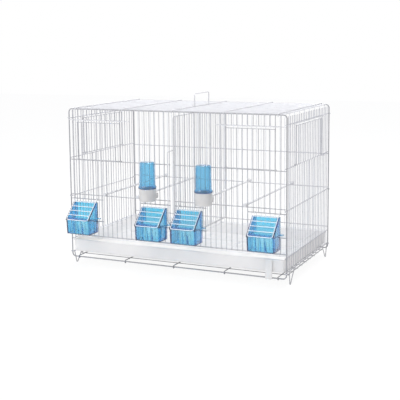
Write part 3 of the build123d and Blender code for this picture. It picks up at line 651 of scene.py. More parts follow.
def side_bar_wires():
    """Upright bars, the middle ones broken at the nest box opening, with their weld pools."""
    y = side_face + bar_half
    low, high = z_side_low - rail_half, z_top - SIDE_TOP_GAP
    cut = np.abs(rows) < nest_edge - row_step / 2
    pool, levels = (y + y_side_rail) / 2, [z_side_low, z_side_floor, z_side_mid, z_nest_sill, z_nest_head]
    return together(
        upright_bars(rows[~cut], y, low, high, bar_radius),
        upright_bars(rows[cut], y, low, z_nest_sill + rail_half, bar_radius),
        upright_bars(rows[cut], y, z_nest_head - rail_half, high, bar_radius),
        weld_pools(rows, [pool], levels, pool_radius),
    )


def side_rail_wires():
    """Three hooked rails, two plain ones and the guide of the nest box door."""
    end = half_depth + frame_wire / 2
    hooked = [hooked_rail(z) for z in (z_side_low, z_side_mid, z_nest_head)]
    plain = level_bars(-end, end, y_side_rail, [z_side_floor, z_nest_sill], rail_radius)
    return together(*hooked, plain, guide_wire(-nest_edge, nest_edge, side_face, row_step, z_nest_head))


print("side bars", len(rows), "nest box opening", round(2 * nest_edge, 1), "mm")

# %% Feet, and both sides in place
FOOT_SOLE, FOOT_BEND = 5.0, 2.5
# each foot's outer and inner leg, counted in rows from the middle, and how far the outer leg leans
NEAR_FOOT, FAR_FOOT = (10.8, 8.0, 4.0), (12.0, 9.0, 10.0)
foot_radius = rail_half


def foot_wire(way, out_rows, in_rows, lean):
    """V of wire from the low rail to the ground and back, with a short flat sole."""
    top, sole, out = z_side_low + rail_half, foot_radius, out_rows * row_step
    points = [(out, top), (out - lean, sole), (out - lean - FOOT_SOLE, sole), (in_rows * row_step, top)]
    path = flat_points(eased_path(points, FOOT_BEND), "xz", y_side_rail - rail_wire) * [way, 1, 1]
    return bent_wire(path, foot_radius)


def side_turned(surface, side):
    """Surface turned a quarter about the upright axis: (x, y) to (y, -x) for left, (-y, x) for right."""
    points, faces = surface
    sign = {"left": 1, "right": -1}[side]
    return np.stack([sign * points[:, 1], -sign * points[:, 0], points[:, 2]], -1), faces


for side in ("left", "right"):
    door = door_wires(-nest_edge, nest_edge, side_face, row_step, z_nest_sill, z_nest_head)
    feet = together(foot_wire(-1, *NEAR_FOOT), foot_wire(1, *FAR_FOOT))
    for name, surface, body in (
        (side + "_side_bars", side_bar_wires(), "cage"),
        (side + "_side_rails", side_rail_wires(), "cage"),
        (side + "_feet", feet, "cage"),
        (side + "_side_door", door, "side_door_" + side),
    ):
        # The feet take the front's tone of painted shade, and the rest of each side takes the side's tone.
        coat = front_coat_painted_shade if surface is feet else side_coat_painted_shade
        make_piece(name + "_wire", side_turned(surface, side), body, [name], coat)

# %% [markdown]
# ## Base, floor and roof
# The base is a panel of bars under the tray, and its cross wires curl round the lowest frame wires;
# their hooks show under the front edge. The wire floor above the tray is loose. The roof has an eye
# round the back top wire at each cross wire and an open hook over the front one, so it swings up.

# %% Base, floor and roof panels
PANEL_GAP, FLOOR_GAP, FLOOR_POOL = 5.0, 8.0, 1.4
LATCH_ANGLE, LATCH_STEPS, LATCH_TAIL = 90, 6, 4.0
BASE_BARS, BASE_STEP = 9, 2.5
panel_end = half_width - PANEL_GAP
base_rows = (np.arange(BASE_BARS) - BASE_BARS // 2) * BASE_STEP * row_step


def base_cross_wire(x):
    """Wire from front to back over both lowest frame wires, curled round each."""
    return curled_wire((x, half_depth, z_low), (0, 0, hook_radius), (0, 1, 0))


def base_edge_wires():
    """Two straight wires that close the ends of the base bars."""
    x = np.array([-1, 1]) * (panel_end - rail_half)
    return deep_bars(x, base_rows[-1] + rail_wire, z_low + hook_radius, foot_radius)


def roof_cross_wire(x):
    """Wire over both top frame wires: open hook with a tail in front, closed eye behind."""
    over = z_top + hook_radius
    front = arc_path((x, y_front, z_top), (x, y_front, over), (0, -1, 0), LATCH_ANGLE, LATCH_STEPS)[::-1]
    tail = front[:1] - [0, 0, LATCH_TAIL]
    eye = arc_path((x, half_depth, z_top), (x, half_depth, over), (0, 1, 0), EYE_ANGLE, CURL_STEPS)
    return bent_wire(np.concatenate([tail, front, eye]), rail_radius)


def panel_bars(level, places):
    """Bars under the cross wires of the base or the roof, with their weld pools."""
    z = level + hook_radius - rail_half - bar_half
    pools = weld_pools(cross_x, places, [z + bar_half], pool_radius)
    return together(level_bars(-panel_end, panel_end, places, z, bar_radius), pools)


def floor_wires():
    """Loose floor: bars across, with wires from front to back welded on top."""
    z = z_side_floor + rail_half + play + bar_half
    end = half_width - hook_radius + rail_half - play
    z_cross = z + bar_half + rail_half
    return together(
        level_bars(-end, end, rows, z, slim_radius),
        deep_bars(cross_x, half_depth - FLOOR_GAP, z_cross, foot_radius),
        weld_pools(cross_x, rows, [z + bar_half], FLOOR_POOL),
    )


base_wires = together(base_edge_wires(), *[base_cross_wire(x) for x in cross_x])
for name, surface, body, coat in (
    # The base's cross wires take the frame's greyest tone of painted shade.
    ("base_cross_wires", base_wires, "cage", frame_coat_painted_shade),
    ("base_bars", panel_bars(z_low, base_rows), "cage", front_coat_painted_shade),
    ("roof_cross_wires", together(*[roof_cross_wire(x) for x in cross_x]), "roof", roof_coat_painted_shade),
    ("roof_bars", panel_bars(z_top, rows), "roof", roof_coat_painted_shade),
    ("floor_grille", floor_wires(), "floor", inner_coat),
):
    make_piece(name + "_round", surface, body, [name], coat)

# %% [markdown]
# ## Handle, divider and flaps
# The carrying handle is a loop with an eye at each foot, so that it folds flat on the roof. The
# divider is a grille on a runner, and the loop that stands out through the slot pulls it. The flaps
# close the feeder openings when no feeder hangs there, and otherwise lean on the feeder. The handle
# and the flaps bend in more than one plane, so they get a lean that none of their runs takes.

# %% Carrying handle and divider
handle_radius = 1.4
HANDLE_ROWS, HANDLE_RISE, HANDLE_BEND, HANDLE_LEAN = 3.25, 35.0, 4.5, (0.6, 0.7, 0.4)
DIVIDER_TOP_GAP, DIVIDER_END_GAP, DIVIDER_BEND = 13.0, 6.0, 7.0
PULL_DOWN, PULL_HEIGHT, PULL_REACH = 97.0, 180.0, 27.0


def with_eyes(loop, eyes):
    """Path of a loop that starts at the end of one eye and ends in another."""
    return np.concatenate([eyes[0][:0:-1], loop, eyes[1][1:]])


def handle_wire():
    """Eye round the middle roof wire, up, along, down, and a second eye."""
    eye = rail_wire / sqrt(2) + play + handle_radius
    z, end = z_top + hook_radius, HANDLE_ROWS * row_step
    top = z + HANDLE_RISE - handle_radius
    loop = flat_points(eased_path(hoop(-end, end, z, top), HANDLE_BEND), "yz", eye)
    eyes = [arc_path((0, y, z), (eye, y, z), (0, 0, -1), EYE_ANGLE, CURL_STEPS) for y in (-end, end)]
    return bent_wire(with_eyes(loop, eyes), handle_radius, lean=unit(np.array(HANDLE_LEAN)))


def divider_wires():
    """Runner on the tray bars, frame with bent corners, bars on one side and the pull loop in front."""
    runner = z_tray_bar + rail_wire + play
    low, high = runner + rail_wire, z_top - DIVIDER_TOP_GAP
    end = half_depth - DIVIDER_END_GAP
    rim = rectangle(-end, end, low, high)
    pull_top = z_top - PULL_DOWN
    pull = rectangle(-end - rail_half, -half_depth - PULL_REACH, pull_top, pull_top - PULL_HEIGHT)
    x = rail_half + bar_half
    return together(
        deep_bars(0, -y_weld, runner, foot_radius),
        flat_wire(rim, DIVIDER_BEND, "yz", 0, foot_radius, True),
        flat_wire(pull, DIVIDER_BEND, "yz", 0, foot_radius),
        upright_bars(x, rows, low - rail_half, high + rail_half, slim_radius),
        weld_pools([x / 2], rows, [low, high], door_pool),
    )


make_piece("carry_handle_wire", handle_wire(), "handle", ["carry_handle"], roof_coat_painted_shade)
make_piece("divider_grille", divider_wires(), "divider", ["divider"], roof_coat_painted_shade)

# %% Feeder flaps
FLAP_TILT, FLAP_LENGTH, FLAP_BEND, FLAP_BARS = radians(46), 70.5, 5.0, 4
FLAP_EYE_ANGLE, FLAP_EYE_STEPS, FLAP_SIDE, FLAP_LEAN = 200, 12, 2.25, (0.75, 0.45, 0.49)
flap_half = FLAP_SIDE * bar_step
flap_eye = rail_wire / sqrt(2) + play + bar_half
flap_down = np.array([0, -sin(FLAP_TILT), -cos(FLAP_TILT)])
flap_out = np.array([0, -cos(FLAP_TILT), sin(FLAP_TILT)])
outer_feeder = (half_width + beside[feeder_far]) / 2
inner_feeder = (beside[0] + beside[feeder_near]) / 2
feeder_x = (-outer_feeder, -inner_feeder, inner_feeder, outer_feeder)


def flap_point(across, outward, downward):
    """Hinge middle + across * X + outward * out + downward * down; out and down follow the tilt."""
    across, outward, downward = np.broadcast_arrays(across, outward, downward)
    hinge = np.stack([across, across * 0 + y_rail, across * 0 + z_flap], -1)
    return hinge + outward[..., None] * flap_out + downward[..., None] * flap_down


def flap_wires(x):
    """U of wire with an eye at each end round the hinge rail, and four bars across it."""
    sheet = eased_path(hoop(-flap_half, flap_half, 0, FLAP_LENGTH), FLAP_BEND)
    loop = flap_point(x + sheet[:, 0], flap_eye, sheet[:, 1])
    eyes = []
    for way in (-flap_half, flap_half):
        centre, start = flap_point(x + way, 0.0, 0.0), flap_point(x + way, flap_eye, 0.0)
        eyes.append(arc_path(centre, start, -flap_down, FLAP_EYE_ANGLE, FLAP_EYE_STEPS))
    down = FLAP_LENGTH * np.arange(1, FLAP_BARS + 1) / (FLAP_BARS + 1)
    side, on = flap_half + bar_half, flap_eye + bar_wire
    return together(
        bent_wire(with_eyes(loop, eyes), slim_radius, lean=unit(np.array(FLAP_LEAN))),
        straight_wires(flap_point(x - side, on, down).T, flap_point(x + side, on, down).T, slim_radius),
    )


for number, x in enumerate(feeder_x, 1):
    name = f"flap_{number}"
    make_piece(name + "_wires", flap_wires(x), name, ["feeder_" + name], inner_coat)

# %% [markdown]
# ## Moulded tubs
# The tray and the feeder cups are thin tubs with rounded corners, made in one shot in a mould. Such a
# tub is one skin: out from the middle of the underside, up the outer wall, over the lip, down the
# inner wall and in over the floor. Each level is a rectangle with rounded corners, sampled at the
# same places as the grid of the floor, so that the walls and both floors meet point by point.

# %% A tub as one skin
def edge_places(across, deep):
    """Places round the edge of a unit square, counted to the left seen from above, at given shares."""
    sides = ((across[:-1], -1.0), (1.0, deep[:-1]), (across[:0:-1], 1.0), (-1.0, deep[:0:-1]))
    return np.concatenate([np.stack(np.broadcast_arrays(x, y), -1) for x, y in sides])


def rounded_level(places, half_x, y0, y1, corner):
    """Unit square places stretched to a rectangle, pulled in to a circle within each rounded corner."""
    half_y = (y1 - y0) / 2
    spot = places * [half_x, half_y]
    heart = np.array([half_x - corner, half_y - corner])
    past = np.abs(spot) - heart
    inside = (past > 0).all(1)[:, None]
    pulled = np.sign(spot) * (heart + corner * unit(np.where(inside, past, 1.0)))
    return np.where(inside, pulled, spot) + [0, (y0 + y1) / 2]


def tub_floor(across, deep, half_x, y0, y1, corner, height):
    """Grid of the floor, its edge rounded as the walls' lowest level is, at height(x, y)."""
    u, v = np.meshgrid(across, deep, indexing="ij")
    plan = rounded_level(np.stack([u, v], -1).reshape(-1, 2), half_x, y0, y1, corner)
    return np.column_stack([plan, height(plan[:, 0], plan[:, 1])])


def floor_faces(count_x, count_y, up):
    """Faces of a floor grid, seen from above or from below."""
    spots = np.arange(count_x * count_y).reshape(count_x, count_y)
    faces = np.stack([spots[:-1, :-1], spots[1:, :-1], spots[1:, 1:], spots[:-1, 1:]], -1).reshape(-1, 4)
    return faces if up else faces[:, ::-1]


def tub(across, deep, levels, under, floor):
    """Tub from levels (half_x, y0, y1, corner, z) out and up, then in and down, between two floors."""
    across, deep = np.asarray(across, float), np.asarray(deep, float)
    places = edge_places(across, deep)
    walls = [flat_points(rounded_level(places, *plan), "xy", z) for *plan, z in levels]
    surfaces = [(np.concatenate(walls), [grid_faces(len(levels), len(places))])]
    for level, height, up in ((levels[0], under, False), (levels[-1], floor, True)):
        points = tub_floor(across, deep, *level[:4], height)
        surfaces.append((points, [floor_faces(len(across), len(deep), up)]))
    return together(*surfaces)


print("places round a square of 3 by 3 lines", len(edge_places(np.arange(3), np.arange(3))))

# %% Closed seams
SEAM = 0.00001


def closed_seams(piece):
    """Points that lie together become one and faces without area go, so that walls and floors close."""
    mesh = bmesh.new()
    mesh.from_mesh(piece.data)
    bmesh.ops.remove_doubles(mesh, verts=mesh.verts, dist=SEAM)
    bmesh.ops.dissolve_degenerate(mesh, dist=SEAM, edges=mesh.edges)
    mesh.to_mesh(piece.data)
    mesh.free()
    print(piece.name, "closed to", len(piece.data.polygons), "faces")


print("points closer than", SEAM, "m are joined")

# %% [markdown]
# ## The tray
# It is a shallow off-white tub with a rolled lip and two channels pressed down into its floor, which
# slide on the base wires. A strip at the right of its front is the pull tab. The channels are a
# change of height on the floor grid, so the grid has lines on both sides of each channel's slopes.

# %% Pull-out tray
TRAY_RIM, TRAY_LOW, TRAY_DRAFT, TRAY_WALL, TRAY_CORNER, TRAY_LIP = 68.2, 35.0, 1.5, 1.8, 7.0, 2.3
TRAY_GAP, TRAY_OUT, TRAY_BACK_GAP, TRAY_MID = 5.0, 2.0, 6.0, 50.0
CHANNEL_HALF, CHANNEL_SPREAD, CHANNEL_SLOPE, CHANNEL_GAP = 8.0, 85.0, 1.6, 22.0
# distances from an edge at which rounded corners need points, and the lines between the corners
EDGE_STEPS, FLOOR_SHARE, FLOOR_LINES = np.array([0.0, 1.4, 4.2, 8.4, 13.0]), 0.8, 9
tray_half, tray_y0, tray_y1 = half_width - TRAY_GAP, y_front - TRAY_OUT, half_depth - TRAY_BACK_GAP
channel_end = tray_half - TRAY_DRAFT - CHANNEL_GAP
channel_depth = TRAY_LOW - (z_low + hook_radius + rail_half + play)
tray_middle = (tray_y0 + tray_y1) / 2


def tray_level(inset, z):
    """Level of the tray at a height: the rim's rectangle less the draft and an inset."""
    less = inset + TRAY_DRAFT * (TRAY_RIM - z) / (TRAY_RIM - TRAY_LOW)
    return (tray_half - less, tray_y0 + less, tray_y1 - less, TRAY_CORNER - inset, z)


def channel_drop(x, y, spread):
    """1 inside a channel and 0 outside, with a straight slope of CHANNEL_SLOPE between."""
    off = np.abs(np.abs(y - tray_middle) - CHANNEL_SPREAD)
    past = np.maximum(off - CHANNEL_HALF, np.abs(x) - channel_end) - spread
    return np.clip(-past / CHANNEL_SLOPE, 0, 1)


# inset and height of each level
outside = [(2.6, TRAY_LOW), (0.8, TRAY_LOW + 0.7), (0.0, TRAY_LOW + 2.6)]
outside += [(0.0, TRAY_MID), (0.0, TRAY_RIM - 3.6)]
lip = [(-1.6, TRAY_RIM - 3.2), (-TRAY_LIP, TRAY_RIM - 2.4), (-TRAY_LIP, TRAY_RIM - 0.8)]
lip += [(-1.6, TRAY_RIM), (0.7, TRAY_RIM)]
inside = [(TRAY_WALL, TRAY_RIM - 0.7), (TRAY_WALL, TRAY_MID), (TRAY_WALL, TRAY_LOW + 4.2)]
inside += [(2.4, TRAY_LOW + 2.4), (4.2, TRAY_LOW + TRAY_WALL)]
tray_levels = [tray_level(inset, z) for inset, z in outside + lip + inside]
floor_half_x, floor_half_y = tray_levels[0][0], (tray_levels[0][2] - tray_levels[0][1]) / 2
edges_x, edges_y = (both_ways(1 - EDGE_STEPS / half) for half in (floor_half_x, floor_half_y))
end_lines = both_ways([channel_end, channel_end - CHANNEL_SLOPE]) / floor_half_x
middle_lines = np.linspace(-FLOOR_SHARE, FLOOR_SHARE, FLOOR_LINES)
across_lines = np.sort(np.concatenate([edges_x, end_lines, middle_lines]))
slope_lines = both_ways([CHANNEL_HALF, CHANNEL_HALF - CHANNEL_SLOPE])
slope_lines = both_ways(slope_lines + CHANNEL_SPREAD) / floor_half_y
deep_lines = np.sort(np.concatenate([edges_y, slope_lines, [0.0]]))
tray_tub = tub(
    across_lines,
    deep_lines,
    tray_levels,
    lambda x, y: TRAY_LOW - channel_depth * channel_drop(x, y, 0.0),
    lambda x, y: TRAY_LOW + TRAY_WALL - channel_depth * channel_drop(x, y, -TRAY_WALL),
)
print("tray floor of", len(across_lines), "by", len(deep_lines), "lines")

# %% [markdown]
# The pull tab is a flat strip with rounded corners. Strips and webs like it return in the feeders, so
# one helper carries an outline through its thickness and draws both rims in for a soft edge.

# %% Slabs with soft edges
def slab(outline, origin, first, second, through, thickness, edge):
    """Outline point + depth along through, the outline moved in by edge at both faces.

    The outline's pairs count along the directions first and second, to the left seen against through.
    """
    outline = np.asarray(outline, float)
    way = unit(np.roll(outline, -1, 0) - np.roll(outline, 1, 0))
    inward = np.stack([-way[:, 1], way[:, 0]], -1)
    axes = np.array([first, second, through], float)
    layers = []
    for depth, inset in ((0, edge), (edge, 0), (thickness - edge, 0), (thickness, edge)):
        flat = outline + inset * inward
        layers.append(np.column_stack([flat, np.full(len(flat), depth)]) @ axes + origin)
    return np.concatenate(layers), tube_faces(len(layers), len(outline))


TAB_GAP, TAB_HALF, TAB_LOW, TAB_THICK, TAB_BEND, TAB_EDGE = 43.5, 8.5, 18.0, 3.0, 3.0, 0.6
tab_outline = eased_path(rectangle(-TAB_HALF, TAB_HALF, TAB_LOW, TRAY_RIM), TAB_BEND, closed=True)
tab_place = (half_width - TAB_GAP, tray_y0 - TRAY_LIP / 2, 0)
pull_tab = slab(tab_outline, tab_place, (1, 0, 0), (0, 0, 1), (0, -1, 0), TAB_THICK, TAB_EDGE)
tray = together(tray_tub, pull_tab)
closed_seams(make_piece("tray_moulding", tray, "tray", ["tray"], tray_white))

# %% [markdown]
# ## Feeders
# A feeder is a ribbed cup under a hood whose sloping front carries the wire flap; its back is open to
# the cage. It hooks over the sill rail, and two lugs at its rim keep it from swinging in. It could be
# one cut-out block, but clear plastic shows every wall, so it is made as the real one is: a thin tub
# with a rolled rim, two side webs with an upright flange at the back of each, and one bent sheet for
# front, slope and top. Webs, corners and ribs are thicker than the cup's wall, because the blue is
# deepest where light has the most plastic to cross.

# %% Feeder sizes and levels
FEEDER_WALL, FEEDER_REACH, FEEDER_DRAFT, FEEDER_GAP = 1.6, 50.0, 3.0, 6.9
CUP_DROP, RIM_RISE, HOOD_RISE, HOOD_LAP = 29.0, 9.5, 51.0, 1.3
CUP_WALL, WEB_WALL, SLOPE_WALL, FRONT_WALL, FLANGE = 0.75, 3.0, 2.5, 6.5, 6.0
OUTER_CORNER, INNER_CORNER, LEAST_CORNER = 3.2, 4.6, 1.0
feeder_half = feeder_near * bar_step / 2 - FEEDER_GAP
feeder_low, feeder_rim = z_feeder_sill - CUP_DROP, z_feeder_sill + RIM_RISE
feeder_hood, feeder_lip = z_feeder_sill + HOOD_RISE, z_feeder_sill + rail_half + play
feeder_back, feeder_out = y_face - play, y_front - FEEDER_REACH
flap_lean = flap_eye - bar_half - play


def under_flap(y):
    """Height of the line just under the flap's side wires."""
    return z_flap + (flap_lean - (y_rail - y) * cos(FLAP_TILT)) / sin(FLAP_TILT)


def flap_depth(z):
    """Depth of that line at a height."""
    return y_rail - (flap_lean - (z - z_flap) * sin(FLAP_TILT)) / cos(FLAP_TILT)


def feeder_level(grow, z, inside):
    """Level of the cup: its front leans out by the draft, its back stays against the bars.

    Inside, the corners are rounder than outside, so that the plastic is thicker there.
    """
    front = feeder_out + FEEDER_DRAFT * max(0.0, feeder_rim - z) / (feeder_rim - feeder_low)
    corner = INNER_CORNER if inside else max(OUTER_CORNER + grow, LEAST_CORNER)
    half = feeder_half + grow - (WEB_WALL - CUP_WALL if inside else 0.0)
    return (half, front - grow, feeder_back + min(grow, 0.0), corner, z)


print("feeder", round(2 * feeder_half, 1), "wide,", round(feeder_hood - feeder_low, 1), "high")

# %% Feeder cup
RIBS, RIB_HALF, RIB_SLOPE, RIB_DEPTH, RIB_INSIDE = 5, 0.9, 0.45, 0.8, 4.0
RIB_FOOT_OUTSIDE, RIB_FOOT_INSIDE, RIM_DEPTH, ON_WALL = 0.9, 3.0, 3.5, 0.5
RIM_ROW, RIM_END, BACK_SLACK = 5, 11, 0.05
rib_spots = (np.arange(RIBS) + 1) * 2 / (RIBS + 1) - 1
rib_edges = both_ways([1.0, 1.0 - RIB_SLOPE]) * RIB_HALF / feeder_half
rib_lines = np.add.outer(rib_spots, rib_edges).reshape(-1)
between_ribs = (rib_spots[:-1] + rib_spots[1:]) / 2
feeder_across = np.sort(np.concatenate([rib_lines, both_ways([0.925, 0.96, 0.985, 1.0]), between_ribs]))
feeder_deep = np.array([-1.0, -0.98, -0.945, -0.89, -0.5, 0.0, 0.5, 0.89, 0.945, 0.98, 1.0])
# how far each level stands out of the wall, and its height above the underside
cup_rows = [(-2.2, 0.0), (-0.8, 0.4), (-0.2, 1.2), (0.0, 3.0), (0.0, 19.0), (0.0, 34.6), (0.1, 35.4)]
cup_rows += [(1.0, 35.7), (1.4, 36.3), (1.4, 37.9), (1.0, 38.5), (-0.7, 38.5)]
cup_inner_rows = [(-CUP_WALL, 37.9), (-CUP_WALL, 19.0), (-CUP_WALL, 4.4), (-1.8, 2.3), (-3.4, FEEDER_WALL)]


def on_wall(y, z, wall, foot):
    """True for the points of a wall from a foot above the floor up to the rolled rim."""
    return (np.abs(y - wall) < ON_WALL) & (z > feeder_low + foot) & (z < feeder_rim - RIM_DEPTH)


def flat_floor(z):
    """Height of a floor that is the same at every x and y."""
    return lambda x, y: np.full(len(x), z)


def feeder_cup():
    """Tub with a rolled rim; ribs stand out of its front, and its back is cut down to the sill."""
    levels = [feeder_level(grow, feeder_low + rise, False) for grow, rise in cup_rows]
    levels += [feeder_level(grow, feeder_low + rise, True) for grow, rise in cup_inner_rows]
    floors = flat_floor(feeder_low), flat_floor(feeder_low + FEEDER_WALL)
    points, faces = tub(feeder_across, feeder_deep, levels, *floors)
    x, y, z = points.T
    near_rib = np.abs(x[:, None] / feeder_half - rib_spots).min(1) * feeder_half
    on_rib = np.clip((RIB_HALF - near_rib) / (RIB_SLOPE * RIB_HALF), 0, 1)
    wall = feeder_out + FEEDER_DRAFT * (feeder_rim - z) / (feeder_rim - feeder_low)
    ribbed = np.where(on_wall(y, z, wall + CUP_WALL, RIB_FOOT_INSIDE), y + RIB_INSIDE * on_rib, y)
    points[:, 1] = np.where(on_wall(y, z, wall, RIB_FOOT_OUTSIDE), y - RIB_DEPTH * on_rib, ribbed)
    round_count = 2 * (len(feeder_across) + len(feeder_deep) - 2)
    skin = points[: len(levels) * round_count].reshape(len(levels), round_count, 3)
    at_back = skin[RIM_ROW, :, 1] > feeder_back - FEEDER_WALL - BACK_SLACK
    skin[:, at_back, 2] = np.minimum(skin[:, at_back, 2], feeder_lip + FEEDER_WALL)
    skin[RIM_ROW : RIM_END, at_back] = skin[RIM_ROW, at_back]
    return points, faces


print("cup of", len(cup_rows) + len(cup_inner_rows), "levels with", RIBS, "ribs")

# %% Feeder hood, hanger and lugs
WEB_BEND, SHEET_BEND, SMALL_BEND = 1.2, 0.6, 0.5
WEB_EDGE, SHEET_EDGE, LUG_EDGE = 0.3, 0.1, 0.4
HANGER_DROP, LUG_LENGTH, LUG_THICK, LUG_DEPTH, LUG_LAP = 5.0, 8.5, 2.8, 9.0, 0.5
LUG_TIP, LUG_TIP_DEPTH = 1.5, 2.2
hood_foot = feeder_rim - HOOD_LAP
slope_foot = under_flap(feeder_out)


def cross_slab(corners, bend, steps, x, width, edge=WEB_EDGE):
    """Slab whose (y, z) corners are eased and then carried across the cage from x."""
    outline = eased_path(corners, bend, closed=True, steps=steps)
    return slab(outline, (x, 0, 0), (0, 1, 0), (0, 0, 1), (1, 0, 0), width, edge)


def feeder_sheet():
    """Corners (y, z) of the bent sheet: front, slope under the flap and top."""
    rise, skew = cos(FLAP_TILT) / sin(FLAP_TILT), SLOPE_WALL / sin(FLAP_TILT)
    front_in, ceiling = feeder_out + FRONT_WALL, feeder_hood - FEEDER_WALL
    inner_foot = slope_foot + rise * FRONT_WALL - skew
    inner_top = feeder_out + (ceiling - slope_foot + skew) / rise
    up = [(feeder_out, hood_foot), (front_in, hood_foot), (front_in, inner_foot), (inner_top, ceiling)]
    over = [(feeder_back, ceiling), (feeder_back, feeder_hood), (flap_depth(feeder_hood), feeder_hood)]
    return [*up, *over, (feeder_out, slope_foot)]


def feeder_web():
    """Corners (y, z) of a side web: cup rim, back, top and the slope under the flap."""
    back = [(feeder_out, hood_foot), (feeder_back, hood_foot), (feeder_back, feeder_hood)]
    return [*back, (flap_depth(feeder_hood), feeder_hood), (feeder_out, slope_foot)]


def feeder_flange():
    """Corners (y, z) of the upright strip at the back of a web."""
    return rectangle(feeder_back - WEB_WALL, feeder_back, feeder_rim, feeder_hood - FEEDER_WALL)


def feeder_hanger():
    """Corners (y, z) of the hanger: back over the sill rail and down behind it."""
    root, hook_in = feeder_back - FEEDER_WALL, y_rail + rail_half + play
    hook, low, top = hook_in + FEEDER_WALL, feeder_lip - HANGER_DROP, feeder_lip + FEEDER_WALL
    return [(root, feeder_lip), (hook_in, feeder_lip), (hook_in, low), (hook, low), (hook, top), (root, top)]


def feeder_lugs():
    """Two flat lugs beside the rim, drawn on the right and mirrored to the left."""
    end, root, back = feeder_half + LUG_LENGTH, feeder_half - LUG_LAP, feeder_back
    lug = [(root, back - LUG_DEPTH), (end - LUG_TIP, back - LUG_TIP_DEPTH), (end, back), (root, back)]
    lug = eased_path(lug, SMALL_BEND, closed=True, steps=2)
    place, flat = (0, 0, feeder_rim - LUG_THICK), ((1, 0, 0), (0, 1, 0), (0, 0, 1))
    return [slab(outline, place, *flat, LUG_THICK, LUG_EDGE) for outline in (lug, lug[::-1] * [-1, 1])]


print("hanger corners", np.round(feeder_hanger(), 1).tolist())

# %% Four feeders
def feeder_parts():
    """Cup, two side webs, the bent sheet between them, two flanges, the hanger and the two lugs."""
    inner = feeder_half - WEB_WALL
    half_hanger = inner - FEEDER_WALL
    return together(
        feeder_cup(),
        *[cross_slab(feeder_web(), WEB_BEND, 3, x, WEB_WALL) for x in (-feeder_half, inner)],
        cross_slab(feeder_sheet(), SHEET_BEND, 2, -inner, 2 * inner, SHEET_EDGE),
        *[cross_slab(feeder_flange(), SMALL_BEND, 2, x, FLANGE) for x in (-inner, inner - FLANGE)],
        cross_slab(feeder_hanger(), SMALL_BEND, 2, -half_hanger, 2 * half_hanger),
        *feeder_lugs(),
    )


feeder_points, feeder_faces = feeder_parts()
for number, x in enumerate(feeder_x, 1):
    surface = (feeder_points + [x, 0, 0], feeder_faces)
    name = f"feeder_{number}"
    closed_seams(make_piece(name + "_moulding", surface, "cage", [name], feeder_blue))

# %% [markdown]
# ## Drinkers
# An upturned bottle of clear blue plastic stands with its neck in a white cup, and a narrow trough
# brings the water in between two bars. Bottle and cup are turned shapes: a profile of radius and
# height carried round an upright axis. The bottle's profile runs from the middle of its inner
# ceiling down to the neck and up the outside again, so that it is one skin with a real thickness. It
# narrows a little towards its end and has a hollow collar, which sits on the cup's turned-in rim.

# %% Bottles and cups
def turned(profile, x, y, sides=48):
    """Point = axis + radius * (cos turn, sin turn), at the profile's height; both ends closed flat."""
    radius, height = np.asarray(profile, float).T[:, :, None]
    angle = np.arange(sides) * 2 * np.pi / sides
    rings = np.broadcast_arrays(x + radius * np.cos(angle), y + radius * np.sin(angle), height)
    return np.stack(rings, -1).reshape(-1, 3), tube_faces(len(profile), sides)


CUP_OUT, SEAT_RISE, AXIS, LEFT_BARS, RIGHT_BARS = 25.4, 32.3, 0.05, -4, 7
SPOUT_GAP, SPOUT_ROOT, SPOUT_TIP, SPOUT_CORNER = 1.1, 18.6, -150.0, 3.6
drinker_y = y_face - play - CUP_OUT
cup_low = z_perch + rail_half + play
bottle_seat = cup_low + SEAT_RISE
bottle_inside = [(AXIS, 65.6), (17.5, 65.6), (18.6, 8.8), (20.9, 4.4)]
bottle_inside += [(20.9, 1.8), (16.1, 1.8), (16.1, -12.0)]
bottle_outside = [(17.5, -12.0), (17.5, 0.0), (23.0, 0.0), (23.0, 4.0)]
bottle_outside += [(20.0, 9.0), (18.9, 67.0), (AXIS, 67.0)]
bottle_bends = np.array([3.6, 1.5, 0.8, 0.6, 0.6, 0.5, 0.5, 0.3, 0.6, 0.8, 1.5, 5.0])[:, None]
bottle_profile = eased_path(bottle_inside + bottle_outside, bottle_bends) + [0, bottle_seat]
cup_outside = [(AXIS, 0), (20.0, 0), (22.0, 32.0), (17.9, 32.0)]
cup_inside = [(17.9, 30.4), (20.1, 30.4), (18.3, 1.8), (AXIS, 1.8)]
cup_bends = np.array([2.5, 0.7, 0.5, 0.5, 0.5, 2.0])[:, None]
cup_profile = eased_path(cup_outside + cup_inside, cup_bends) + [0, cup_low]
spout_half = (bar_step - bar_wire) / 2 - SPOUT_GAP
# how far each level stands out of the wall, and its height above the underside
spout_rows = [(-1.6, 0.0), (-0.4, 0.3), (0.0, 1.2), (0.0, 12.4), (-0.3, 13.0), (-0.7, 13.0)]
spout_rows += [(-1.1, 12.5), (-1.1, 2.8), (-1.8, 1.8)]
spout_shares = np.array([-1, -0.97, -0.88, -0.7, -0.4, 0, 0.4, 0.7, 0.88, 0.97, 1.0])


def spout_trough(x):
    """Narrow tub from inside the cup's wall to the tip between the bars."""
    levels = []
    for grow, rise in spout_rows:
        ends = (drinker_y + SPOUT_ROOT - grow, SPOUT_TIP + grow)
        levels.append((spout_half + grow, *ends, SPOUT_CORNER + grow, cup_low + rise))
    floors = flat_floor(levels[0][4]), flat_floor(levels[-1][4])
    points, faces = tub(spout_shares, spout_shares, levels, *floors)
    return points + [x, 0, 0], faces


for side, bars in (("left", LEFT_BARS), ("right", RIGHT_BARS)):
    x = bars * bar_step
    bottle, node = turned(bottle_profile, x, drinker_y), "drinker_bottle_" + side
    make_piece(f"bottle_{side}_blown", bottle, "bottle_" + side, [node], bottle_blue)
    cup, node = together(turned(cup_profile, x, drinker_y), spout_trough(x)), "drinker_cup_" + side
    closed_seams(make_piece(f"cup_{side}_moulding", cup, "drinker_" + side, [node], cup_white))

# %% [markdown]
# ## Perches
# A perch is a plain rod with a thicker cap at each end. A notch under each cap sits on the perch rail,
# so the perch can't roll or slide out. It is a turned shape along the depth of the cage; at the
# notch the lower part of the rings is lifted to the notch's roof, which cuts it without a boolean.

